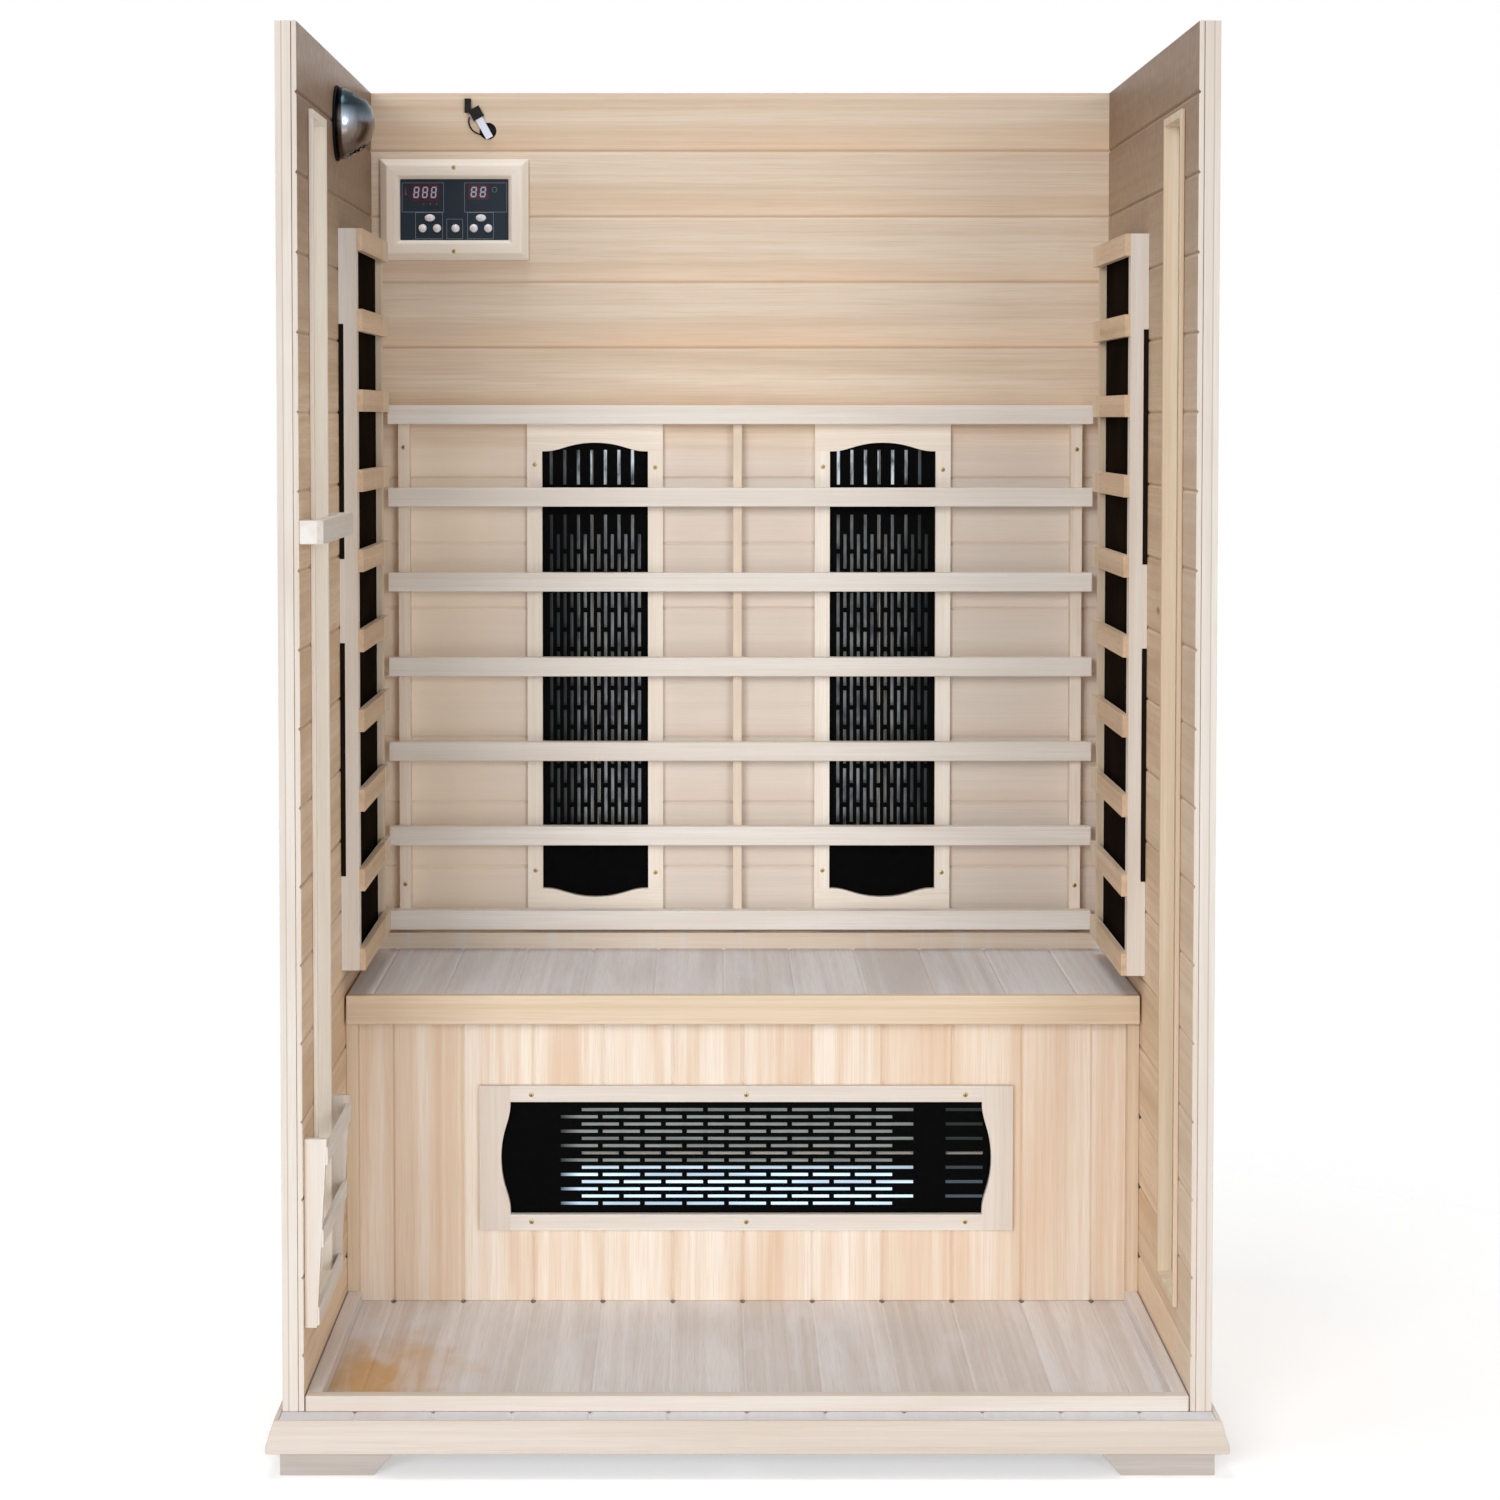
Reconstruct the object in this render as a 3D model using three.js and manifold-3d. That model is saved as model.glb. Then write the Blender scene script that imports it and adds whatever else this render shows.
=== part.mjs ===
// Two-seat infrared sauna cabin, standing open at the front and the top.
// Millimetres. +X is to the right seen from the front, +Y goes to the rear wall and +Z is up.
// The origin is on the ground, under the middle of the base.

import * as THREE from 'three';
import { mergeGeometries, mergeVertices } from 'three/addons/utils/BufferGeometryUtils.js';
import Module from 'manifold-3d';

const wasm = await Module();
wasm.setup();

// Whole cabin
const baseWidth = 1192;
const baseDepth = 1046;
const cabinHeight = 1797;
const fit = 0.3; // clearance between pieces that meet
const bond = 1; // how far the boards of one glued piece reach into each other

// Base: feet, flared skirts, plank deck with joists, lip battens
const footHeight = 31;
const footLength = 144;
const footDepth = 80;
const footInset = 16;
const footBevel = 28;
const skirtHeight = 40;
const skirtBand = 10;
const skirtFlare = 9;
const skirtTopWidth = 6;
const deckThickness = 16;
const joistWidth = 40;
const lipSize = 20;
const boardPitch = 98;
const grooveWidth = 6;
const grooveDepth = 2.5;

// Walls
const sideLedge = 16; // base edge to the outer faces of the side and rear walls
const frontLedge = 47; // base edge to the front edges of the side walls
const wallThickness = 27;
const liningThickness = 7;
const topBoardHeight = 87;
const wallStileWidth = 40; // plain upright at the front of each outer panel

// Side windows
const windowFromFront = 130;
const windowWidth = 145;
const windowAboveDeck = 111;
const windowBelowTop = 107;
const claddingLip = 8;
const glassThickness = 5;
const glassBite = 8; // how far the glass reaches past the edge of the opening
const beadWidth = 10;
const beadProud = 6;
const beadLeg = 5;

// Bench
const seatHeight = 440; // above the deck
const benchDepth = 456;
const benchEndGap = 3;
const benchTopThickness = 16;
const seatGrooveX = -24.5; // one groove between the seat planks, the others follow at the board pitch
const nosingHeight = 40;
const nosingThickness = 18;
const benchPanelSetback = 50;
const benchPanelThickness = 15;
const endBattenWidth = 16;
const endBattenDepth = 25;
const rearStripHeight = 24;
const rearStripDepth = 25;

// Backrest
const backrestEndGap = 27.5; // lining to the end of a rail
const backrestAboveSeat = 33;
const backrestBelowTop = 467.5;
const railHeight = 28;
const railDepth = 28;
const topRailStep = 123;
const slatCount = 5;
const uprightWidth = 17;
const middleUprightWidth = 13;
const middleUprightX = -4;
const uprightDepth = 27;
const uprightInset = 21.5; // rail end to the middle of an outer upright

// Ceramic heater module, used twice in the rear wall and once in the bench panel
const heaterOpeningWidth = 159;
const heaterOpeningLength = 660;
const heaterRailWidth = 22.5;
const heaterEndWidth = 43;
const ogeeDepth = 13;
const ogeeShoulder = 4; // straight edge left on each side of the ogee
const heaterFrameProud = 12;
const heaterBoxWidth = 172;
const heaterBoxLength = 704;
const heaterBoxDepth = 20;
const grilleSheet = 1.5;
const slotLength = 52;
const slotWidth = 4.5;
const slotPitch = 59;
const slotsPerLine = 8;
const slotLines = 14;
const slotLinePitch = 10.2;
const slotStart = -260;
const ventStart = 280;
const panSheet = 1.5;
const tubeRadius = 5;
const tubeCapRadius = 6.5;
const tubeCapLength = 20;
const tubeSides = 12;
const backHeaterX = { left: -218, right: 214.5 };
const backHeaterAboveSeat = 46.5;
const benchHeaterAboveDeck = 204.5; // deck to the middle of the bench heater
const benchHeaterX = 5;

// Slatted side heaters
const sideHeaterLength = 390;
const sideHeaterFromRear = 96;
const sideHeaterAboveSeat = 37;
const sideHeaterBelowTop = 231;
const sideHeaterLift = { left: 3, right: -4.5 }; // the pair hangs at slightly different heights
const sideSlatCount = 10;
const sideSlatHeight = 30;
const sideSlatThickness = 8;
const stileWidth = 25;
const stileDepth = 18;
const spacerDepth = 7;
const endSpacerLength = 130;
const middleSpacerLength = 115;
const emitterThickness = 16; // between the stiles
const emitterTabThickness = 6; // behind the stiles

// Control panel on the rear wall
const controlFromWall = 125; // left lining to the middle of the panel
const controlBelowTop = 175;
const controlOpeningWidth = 162;
const controlOpeningHeight = 91;
const mouldingWidth = 30;
const mouldingProud = 19;
const mouldingEdge = 10;
const mouldingBevel = 5;
const mouldingFlat = 15;
const lipFront = 14;
const lipBack = 10;
const rebateWidth = 4;
const fasciaThickness = 3;
const keyRadius = 6;
const ovalKeyWidth = 15.4;
const ovalKeyHeight = 10.4;
const keyProud = 1.3;
const keyFlange = 1.5;
const keySides = 16;
const roundKeyHeight = -27.5; // from the middle of the panel
const ovalKeyLift = -12;
const leftKeysX = -37;
const rightKeysX = 39.6;
const keyPairHalfPitch = 10.8;
const centreKeyX = 1.5;

// Wall lamp on the left wall
const lampFromRear = 498;
const lampBelowTop = 87;
const lampRadius = 49;
const lampSheet = 2;
const lampSegments = 28;
const lampRings = 7;
const gasketThickness = 3;
const gasketRim = 2;
const ventTilt = THREE.MathUtils.degToRad(32);
const ventRadius = 18.5;
const ventToothDepth = 4;
const ventTeeth = 14;

// Lead hanging out of a hole above the control panel
const leadHoleFromWall = 175;
const leadHoleBelowTop = 57;
const leadHoleRadius = 12.5;
const leadHoleDepth = 16;
const leadHoleSides = 16;
const leadLean = THREE.MathUtils.degToRad(29);
const connectorLength = 33;
const connectorWidth = 11;
const connectorThickness = 7;
const connectorFoot = [2.9, -10.5]; // lower end, from the middle of the hole
const plugLength = 17;
const plugWidth = 17.5;
const plugThickness = 9;
const latchFoot = [-34.5, 27]; // lower corner of the latch arm, from the middle of the hole
const latchLength = 21;
const latchWidth = 9.5;
const wireRadius = 1.1;
const wireSides = 8;
const wireSteps = 14;

// Towel rail on the left wall
const towelAboveDeck = 1084;
const towelHeaterGap = 89.7; // rail end to the front of the side heater
const towelHeight = 29;
const towelThickness = 14;
const towelStandoff = 15;
const towelBlock = 45;
const towelChamfer = 7;

// Magazine rack on the left wall
const rackFromFront = 11;
const rackAboveDeck = 103;
const rackLength = 294;
const rackHeight = 238;
const rackTopDepth = 28.6;
const rackBottomDepth = 15;
const rackEndThickness = 12;
const rackSlatHeight = 23;
const rackSlatThickness = 5.5;
const rackSlatProud = 2.5;
const rackSlatHeights = [3, 101, 205]; // rack bottom to the lower edge of each slat
const rackFloorThickness = 6;
const rackFloorSetback = 7;

// Levels and planes that follow from the sizes above
const deckTop = footHeight + skirtHeight;
const seatTop = deckTop + seatHeight;
const wallOuterX = baseWidth / 2 - sideLedge;
const wallInnerX = wallOuterX - wallThickness;
const wallFrontY = -baseDepth / 2 + frontLedge;
const rearOuterY = baseDepth / 2 - sideLedge;
const rearInnerY = rearOuterY - wallThickness;
const deckHalfX = baseWidth / 2 - skirtFlare - skirtTopWidth;
const deckHalfY = baseDepth / 2 - skirtFlare - skirtTopWidth;
const firstGroove = cabinHeight - topBoardHeight;
const benchFrontY = rearInnerY - benchDepth;
const benchHalfX = wallInnerX - benchEndGap;
const backrestHalfX = wallInnerX - backrestEndGap;
const benchPanelY = benchFrontY + benchPanelSetback;
const endBattenY = benchPanelY - endBattenDepth;
const heaterFrameWidth = heaterOpeningWidth + 2 * heaterRailWidth;
const heaterFrameLength = heaterOpeningLength + 2 * heaterEndWidth;

const colours = {
  wood: 0xdcc3a0,
  paleWood: 0xe6d3b8,
  floorWood: 0xcdbba6,
  black: 0x14130f,
  carbon: 0x221c17,
  steel: 0xb9bcc0,
  ceramic: 0xd8d4cb,
  chrome: 0x8d9499,
  white: 0xeeeef2,
  glass: 0xb9b39c,
};

function finish(colour, roughness = 0.7, metalness = 0) {
  return new THREE.MeshStandardMaterial({ color: colour, roughness, metalness });
}

// Geometry helpers

const unitX = new THREE.Vector3(1, 0, 0);
const unitY = new THREE.Vector3(0, 1, 0);
const unitZ = new THREE.Vector3(0, 0, 1);

// Joins equal corners and drops the triangles that shrink to a line at a pole.
function weld(geometry) {
  const bare = geometry.clone();
  bare.deleteAttribute('normal');
  bare.deleteAttribute('uv');
  const merged = mergeVertices(bare, 1e-4);
  const corners = merged.index.array;
  const kept = [];
  for (let i = 0; i < corners.length; i += 3) {
    const [a, b, c] = [corners[i], corners[i + 1], corners[i + 2]];
    if (a !== b && b !== c && c !== a) {
      kept.push(a, b, c);
    }
  }
  merged.setIndex(kept);
  return merged;
}

function toSolid(geometry) {
  const welded = weld(geometry);
  const mesh = new wasm.Mesh({
    numProp: 3,
    vertProperties: new Float32Array(welded.attributes.position.array),
    triVerts: new Uint32Array(welded.index.array),
  });
  return new wasm.Manifold(mesh);
}

function toGeometry(solid) {
  const mesh = solid.getMesh();
  const geometry = new THREE.BufferGeometry();
  geometry.setAttribute('position', new THREE.BufferAttribute(mesh.vertProperties, 3));
  geometry.setIndex(new THREE.BufferAttribute(mesh.triVerts, 1));
  return geometry;
}

function joined(geometries) {
  return toGeometry(geometries.map(toSolid).reduce((sum, next) => sum.add(next)));
}

function cut(geometry, cutters) {
  return toGeometry(cutters.map(toSolid).reduce((rest, next) => rest.subtract(next), toSolid(geometry)));
}

// A box between two opposite corners, given in either order.
function block(cornerA, cornerB) {
  const ends = [new THREE.Vector3(...cornerA), new THREE.Vector3(...cornerB)];
  const span = new THREE.Box3().setFromPoints(ends);
  const size = span.getSize(new THREE.Vector3());
  const middle = span.getCenter(new THREE.Vector3());
  return new THREE.BoxGeometry(size.x, size.y, size.z).translate(middle.x, middle.y, middle.z);
}

// An outline carried along an axis. Along x it is drawn in (y, z), along y in (x, z), along z in (x, y).
const extrudeBases = {
  x: { matrix: new THREE.Matrix4().makeBasis(unitY, unitZ, unitX), along: unitX, swap: false },
  y: { matrix: new THREE.Matrix4().makeBasis(unitZ, unitX, unitY), along: unitY, swap: true },
  z: { matrix: new THREE.Matrix4(), along: unitZ, swap: false },
};

function prism(axis, outline, from, to) {
  const base = extrudeBases[axis];
  const points = outline.map(([a, b]) => (base.swap ? new THREE.Vector2(b, a) : new THREE.Vector2(a, b)));
  return prismOfShape(axis, new THREE.Shape(points), from, to);
}

function prismOfShape(axis, shape, from, to, curveSegments = 6) {
  const base = extrudeBases[axis];
  const geometry = new THREE.ExtrudeGeometry(shape, { depth: to - from, bevelEnabled: false, curveSegments });
  const shift = base.along.clone().multiplyScalar(from);
  return geometry.applyMatrix4(base.matrix).translate(shift.x, shift.y, shift.z);
}

// A closed body through rings of equal length: a run with flat ends if an outline is given, or else a loop.
function ringBody(rings, outline = null) {
  const count = rings[0].length;
  const positions = rings.flat().flatMap((point) => [point.x, point.y, point.z]);
  const index = [];
  const spans = outline ? rings.length - 1 : rings.length;
  for (let ring = 0; ring < spans; ring += 1) {
    const here = ring * count;
    const next = ((ring + 1) % rings.length) * count;
    for (let i = 0; i < count; i += 1) {
      const j = (i + 1) % count;
      index.push(here + i, here + j, next + j, here + i, next + j, next + i);
    }
  }
  if (outline) {
    const last = (rings.length - 1) * count;
    for (const [a, b, c] of THREE.ShapeUtils.triangulateShape(outline, [])) {
      index.push(c, b, a, last + a, last + b, last + c);
    }
  }
  const geometry = new THREE.BufferGeometry();
  geometry.setAttribute('position', new THREE.Float32BufferAttribute(positions, 3));
  geometry.setIndex(signedVolume(positions, index) < 0 ? index.toReversed() : index);
  return geometry;
}

function signedVolume(positions, index) {
  const corner = (i) => new THREE.Vector3().fromArray(positions, 3 * index[i]);
  let sum = 0;
  for (let i = 0; i < index.length; i += 3) {
    sum += corner(i).dot(corner(i + 1).cross(corner(i + 2)));
  }
  return sum / 6;
}

// A picture frame: its section is (outward from the opening, proud of the wall) and its corners are mitred.
function frameBody(section, halfWidth, halfHeight, place) {
  const corners = [[-1, -1], [1, -1], [1, 1], [-1, 1]];
  const rings = corners.map(([across, up]) =>
    section.map(([out, proud]) => place(across * (halfWidth + out), up * (halfHeight + out), proud)));
  return ringBody(rings);
}

// The points of a grooved board face, from one edge to the other, as (position, depth below the face).
function groovedFace(from, to, pitch, phase) {
  const points = [[from, 0]];
  const first = Math.ceil((from + grooveWidth - phase) / pitch);
  for (let k = first; phase + k * pitch < to - grooveWidth; k += 1) {
    const middle = phase + k * pitch;
    points.push([middle - grooveWidth / 2, 0], [middle, grooveDepth], [middle + grooveWidth / 2, 0]);
  }
  points.push([to, 0]);
  return points;
}

const cabin = new THREE.Group();

function piece(name, geometry, material, parent = cabin) {
  const mesh = new THREE.Mesh(weld(geometry), material);
  mesh.name = name;
  parent.add(mesh);
  return mesh;
}

// Base

const corners = { front_left: [-1, -1], front_right: [1, -1], rear_left: [-1, 1], rear_right: [1, 1] };

function makeFoot([sideX, sideY]) {
  const outer = baseWidth / 2 - footInset;
  const inner = outer - footLength;
  const outline = [[outer, 0], [outer, footHeight - fit], [inner, footHeight - fit], [inner + footBevel, 0]];
  const face = baseDepth / 2 - footInset;
  const ends = [sideY * face, sideY * (face - footDepth)].sort((a, b) => a - b);
  return prism('y', outline.map(([x, z]) => [sideX * x, z]), ends[0], ends[1]);
}

for (const [place, signs] of Object.entries(corners)) {
  piece(`foot_${place}`, makeFoot(signs), finish(colours.wood));
}

// The skirt's section as (outward from its inner face, height).
const skirtReach = skirtFlare + skirtTopWidth;
const skirtSection = [
  [0, footHeight],
  [skirtReach, footHeight],
  [skirtReach, footHeight + skirtBand],
  [skirtTopWidth, deckTop],
  [0, deckTop],
];

// Each skirt's ends are mitred to its neighbours, half a clearance short of the corner line.
function makeSkirt(halfRun, place) {
  const outline = skirtSection.map(([out, up]) => new THREE.Vector2(out, up));
  const rings = [-1, 1].map((end) =>
    skirtSection.map(([out, up]) => place(end * (halfRun + out - fit), out, up)));
  return ringBody(rings, outline);
}

const skirtMaterial = finish(colours.paleWood);
piece('base_skirt_front', makeSkirt(deckHalfX, (run, out, up) =>
  new THREE.Vector3(run, -deckHalfY - out, up)), skirtMaterial.clone());
piece('base_skirt_rear', makeSkirt(deckHalfX, (run, out, up) =>
  new THREE.Vector3(run, deckHalfY + out, up)), skirtMaterial.clone());
piece('base_skirt_left', makeSkirt(deckHalfY, (run, out, up) =>
  new THREE.Vector3(-deckHalfX - out, run, up)), skirtMaterial.clone());
piece('base_skirt_right', makeSkirt(deckHalfY, (run, out, up) =>
  new THREE.Vector3(deckHalfX + out, run, up)), skirtMaterial.clone());

// Planks run from front to rear, on three joists.
function makeDeck() {
  const half = deckHalfX - fit;
  const top = groovedFace(-half, half, boardPitch, 0).map(([x, depth]) => [x, deckTop - depth]);
  const underside = deckTop - deckThickness;
  const joists = [half - joistWidth, -joistWidth / 2, -half];
  const bottom = joists.flatMap((x) => [
    [x + joistWidth, underside],
    [x + joistWidth, footHeight],
    [x, footHeight],
    [x, underside],
  ]);
  const outline = [...top, ...bottom.slice(1, -1)];
  return prism('y', outline, -deckHalfY + fit, deckHalfY - fit);
}

piece('floor_deck', makeDeck(), finish(colours.floorWood));

// Battens around the floor: one across the front and one along each side wall, up to the bench.
function makeLip() {
  const outerX = wallInnerX - fit;
  const innerX = outerX - lipSize;
  const innerY = wallFrontY + lipSize;
  const endY = endBattenY - fit;
  const outline = [
    [-outerX, wallFrontY], [outerX, wallFrontY], [outerX, endY], [innerX, endY],
    [innerX, innerY], [-innerX, innerY], [-innerX, endY], [-outerX, endY],
  ];
  return prism('z', outline, deckTop + fit, deckTop + lipSize);
}

piece('floor_lip', makeLip(), finish(colours.paleWood));

// Side walls

const sides = { left: -1, right: 1 };
const windowFrontY = wallFrontY + windowFromFront;
const windowMiddleY = windowFrontY + windowWidth / 2;
const windowLow = deckTop + windowAboveDeck;
const windowHigh = cabinHeight - windowBelowTop;
const windowMiddleZ = (windowLow + windowHigh) / 2;
const windowHalfY = windowWidth / 2;
const windowHalfZ = (windowHigh - windowLow) / 2;
const wallLow = deckTop + fit;
const liningOuterX = wallInnerX + liningThickness;
const glassOuterX = wallOuterX - claddingLip - fit;

// A cutter through a side wall, larger than the window opening by a margin.
function windowCutter(side, margin, fromX, toX) {
  return block(
    [side * fromX, windowMiddleY - windowHalfY - margin, windowMiddleZ - windowHalfZ - margin],
    [side * toX, windowMiddleY + windowHalfY + margin, windowMiddleZ + windowHalfZ + margin],
  );
}

// The outer panel is grooved outside behind a plain front upright, and holds the glass in a rebate.
function makeWallPanel(side) {
  const face = groovedFace(wallLow, cabinHeight, boardPitch, firstGroove);
  const outline = [
    ...face.map(([z, depth]) => [side * (wallOuterX - depth), z]),
    [side * (liningOuterX + fit), cabinHeight],
    [side * (liningOuterX + fit), wallLow],
  ];
  const boards = prism('y', outline, wallFrontY, rearInnerY - fit);
  const upright = block(
    [side * (liningOuterX + fit), wallFrontY, wallLow],
    [side * wallOuterX, wallFrontY + wallStileWidth, cabinHeight],
  );
  const rebate = windowCutter(side, glassBite, liningOuterX - bond, wallOuterX - claddingLip);
  const opening = windowCutter(side, 0, liningOuterX - bond, wallOuterX + bond);
  return cut(joined([boards, upright]), [rebate, opening]);
}

function makeLining(side) {
  const face = groovedFace(wallLow, cabinHeight, boardPitch, firstGroove);
  const outline = [
    ...face.map(([z, depth]) => [side * (wallInnerX + depth), z]),
    [side * liningOuterX, cabinHeight],
    [side * liningOuterX, wallLow],
  ];
  const lining = prism('y', outline, wallFrontY, rearInnerY - fit);
  return cut(lining, [windowCutter(side, beadLeg + fit, wallInnerX - bond, liningOuterX + bond)]);
}

function makeGlass(side) {
  return windowCutter(side, glassBite - fit, glassOuterX - glassThickness, glassOuterX);
}

// The bead laps the lining and its leg runs through the wall to the glass.
function makeWindowTrim(side) {
  const legEnd = glassOuterX - glassThickness - fit - wallInnerX;
  const section = [
    [0, beadProud], [beadWidth, beadProud], [beadWidth, fit],
    [beadLeg, fit], [beadLeg, -legEnd], [0, -legEnd],
  ];
  return frameBody(section, windowHalfY, windowHalfZ, (along, up, proud) =>
    new THREE.Vector3(side * (wallInnerX - proud), windowMiddleY + along, windowMiddleZ + up));
}

for (const [name, side] of Object.entries(sides)) {
  piece(`${name}_wall_panel`, makeWallPanel(side), finish(colours.wood));
  piece(`${name}_wall_lining`, makeLining(side), finish(colours.wood));
  piece(`${name}_window_glass`, makeGlass(side), finish(colours.glass, 0.1));
  piece(`${name}_window_trim`, makeWindowTrim(side), finish(colours.paleWood));
}

// Rear wall, with a pocket for each back heater and a hole for the lead

const backHeaterZ = seatTop + backHeaterAboveSeat + heaterFrameLength / 2;
const leadHoleX = -wallInnerX + leadHoleFromWall;
const leadHoleZ = cabinHeight - leadHoleBelowTop;

function makeRearWall() {
  const face = groovedFace(wallLow, cabinHeight, boardPitch, firstGroove);
  const outline = [
    ...face.map(([z, depth]) => [rearInnerY + depth, z]),
    ...face.map(([z, depth]) => [rearOuterY - depth, z]).reverse(),
  ];
  const wall = prism('x', outline, -wallOuterX, wallOuterX);
  const halfX = heaterBoxWidth / 2;
  const halfZ = heaterBoxLength / 2;
  const pockets = Object.values(backHeaterX).map((x) => block(
    [x - halfX, rearInnerY - bond, backHeaterZ - halfZ],
    [x + halfX, rearInnerY + heaterBoxDepth, backHeaterZ + halfZ],
  ));
  const drillLength = leadHoleDepth + bond;
  const drill = new THREE.CylinderGeometry(leadHoleRadius, leadHoleRadius, drillLength, leadHoleSides);
  drill.translate(leadHoleX, rearInnerY + (leadHoleDepth - bond) / 2, leadHoleZ);
  return cut(wall, [...pockets, drill]);
}

piece('rear_wall', makeRearWall(), finish(colours.wood));

// Bench

const benchUnderside = seatTop - benchTopThickness;
const benchHeaterZ = deckTop + benchHeaterAboveDeck;

// Seat planks run from front to rear, with a strip along the rear wall on top of them.
function makeBenchTop() {
  const top = groovedFace(-benchHalfX, benchHalfX, boardPitch, seatGrooveX);
  const outline = [
    ...top.map(([x, depth]) => [x, seatTop - depth]),
    [benchHalfX, benchUnderside],
    [-benchHalfX, benchUnderside],
  ];
  const planks = prism('y', outline, benchFrontY + nosingThickness + fit, rearInnerY - fit);
  const strip = block(
    [-benchHalfX, rearInnerY - rearStripDepth, seatTop - grooveDepth - bond],
    [benchHalfX, rearInnerY - fit, seatTop + rearStripHeight],
  );
  return joined([planks, strip]);
}

function makeNosing() {
  return block(
    [-benchHalfX, benchFrontY, seatTop - nosingHeight],
    [benchHalfX, benchFrontY + nosingThickness, seatTop],
  );
}

// Upright boards below the seat, with a batten at each end and a cut-out for the heater.
function makeBenchPanel() {
  const half = wallInnerX - fit;
  const low = deckTop + fit;
  const high = benchUnderside - fit;
  const face = groovedFace(-half, half, boardPitch, 0);
  const outline = [
    ...face.map(([x, depth]) => [x, benchPanelY + depth]),
    [half, benchPanelY + benchPanelThickness],
    [-half, benchPanelY + benchPanelThickness],
  ];
  const boards = prism('z', outline, low, high);
  const battens = Object.values(sides).map((side) => block(
    [side * (half - endBattenWidth), endBattenY, low],
    [side * half, benchPanelY + bond, high],
  ));
  const opening = block(
    [benchHeaterX - heaterBoxLength / 2, benchPanelY - bond, benchHeaterZ - heaterBoxWidth / 2],
    [
      benchHeaterX + heaterBoxLength / 2,
      benchPanelY + benchPanelThickness + bond,
      benchHeaterZ + heaterBoxWidth / 2,
    ],
  );
  return cut(joined([boards, ...battens]), [opening]);
}

piece('bench_top', makeBenchTop(), finish(colours.floorWood));
piece('bench_nosing', makeNosing(), finish(colours.paleWood));
piece('bench_front_panel', makeBenchPanel(), finish(colours.wood));

// Backrest: a frame of two rails on three uprights, and five slats on the uprights

const uprightFaceY = rearInnerY - uprightDepth;
const railFrontY = uprightFaceY - fit - railDepth;
const topRailTop = cabinHeight - backrestBelowTop;
const bottomRailTop = seatTop + backrestAboveSeat + railHeight;

function makeRail(top, depth) {
  return block(
    [-backrestHalfX, railFrontY, top - railHeight],
    [backrestHalfX, railFrontY + depth, top],
  );
}

function makeBackrestFrame() {
  const outerUpright = backrestHalfX - uprightInset;
  const places = [
    [-outerUpright, uprightWidth],
    [middleUprightX, middleUprightWidth],
    [outerUpright, uprightWidth],
  ];
  const uprights = places.map(([x, width]) => block(
    [x - width / 2, uprightFaceY, bottomRailTop - railHeight],
    [x + width / 2, rearInnerY - fit, topRailTop],
  ));
  const rails = [topRailTop, bottomRailTop].map((top) => makeRail(top, railDepth + fit + bond));
  return joined([...uprights, ...rails]);
}

piece('backrest_frame', makeBackrestFrame(), finish(colours.wood));
const firstSlatTop = topRailTop - topRailStep;
const slatStep = (firstSlatTop - bottomRailTop) / slatCount;
for (let i = 0; i < slatCount; i += 1) {
  piece(`backrest_slat_${i + 1}`, makeRail(firstSlatTop - i * slatStep, railDepth), finish(colours.paleWood));
}

// Ceramic heater module in its own frame: x across, y along, z out of the board it is set in

// One end of the opening, from its left shoulder to its right one, or back, with an ogee bulge between.
function ogeeEnd(path, end) {
  const shoulder = end * heaterOpeningLength / 2;
  const peak = shoulder + end * ogeeDepth;
  const half = end * (heaterOpeningWidth / 2 - ogeeShoulder);
  const foot = half * 0.68;
  const crown = half * 0.52;
  path.lineTo(-half, shoulder);
  path.bezierCurveTo(-foot, shoulder, -crown, peak, 0, peak);
  path.bezierCurveTo(crown, peak, foot, shoulder, half, shoulder);
}

function makeHeaterFrame() {
  const halfX = heaterFrameWidth / 2;
  const halfY = heaterFrameLength / 2;
  const outer = [[-halfX, -halfY], [halfX, -halfY], [halfX, halfY], [-halfX, halfY]];
  const shape = new THREE.Shape(outer.map(([x, y]) => new THREE.Vector2(x, y)));
  const opening = new THREE.Path();
  const half = heaterOpeningWidth / 2;
  const shoulder = heaterOpeningLength / 2;
  opening.moveTo(-half, shoulder);
  ogeeEnd(opening, 1);
  opening.lineTo(half, shoulder);
  opening.lineTo(half, -shoulder);
  ogeeEnd(opening, -1);
  opening.lineTo(-half, -shoulder);
  opening.closePath();
  shape.holes.push(opening);
  return prismOfShape('z', shape, fit, heaterFrameProud, 12);
}

function slotBlock(x, start) {
  const half = slotWidth / 2;
  return block([x - half, start, -grilleSheet - bond], [x + half, start + slotLength, bond]);
}

// Slots stand in lines, every second line half a pitch further along, with vent slots near one end.
function makeGrille() {
  const halfX = heaterBoxWidth / 2 - fit;
  const halfY = heaterBoxLength / 2 - fit;
  const plate = block([-halfX, -halfY, -grilleSheet], [halfX, halfY, 0]);
  const slots = [];
  for (let line = 0; line < slotLines; line += 1) {
    const x = (line - (slotLines - 1) / 2) * slotLinePitch;
    const late = (line + 1) % 2;
    for (let i = 0; i < slotsPerLine; i += 1) {
      slots.push(slotBlock(x, slotStart + (i + late / 2) * slotPitch));
    }
    if (late) {
      slots.push(slotBlock(x, ventStart));
    }
  }
  return cut(plate, [mergeGeometries(slots)]);
}

const panFront = -grilleSheet - fit;
const panBack = -heaterBoxDepth + fit;

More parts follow.
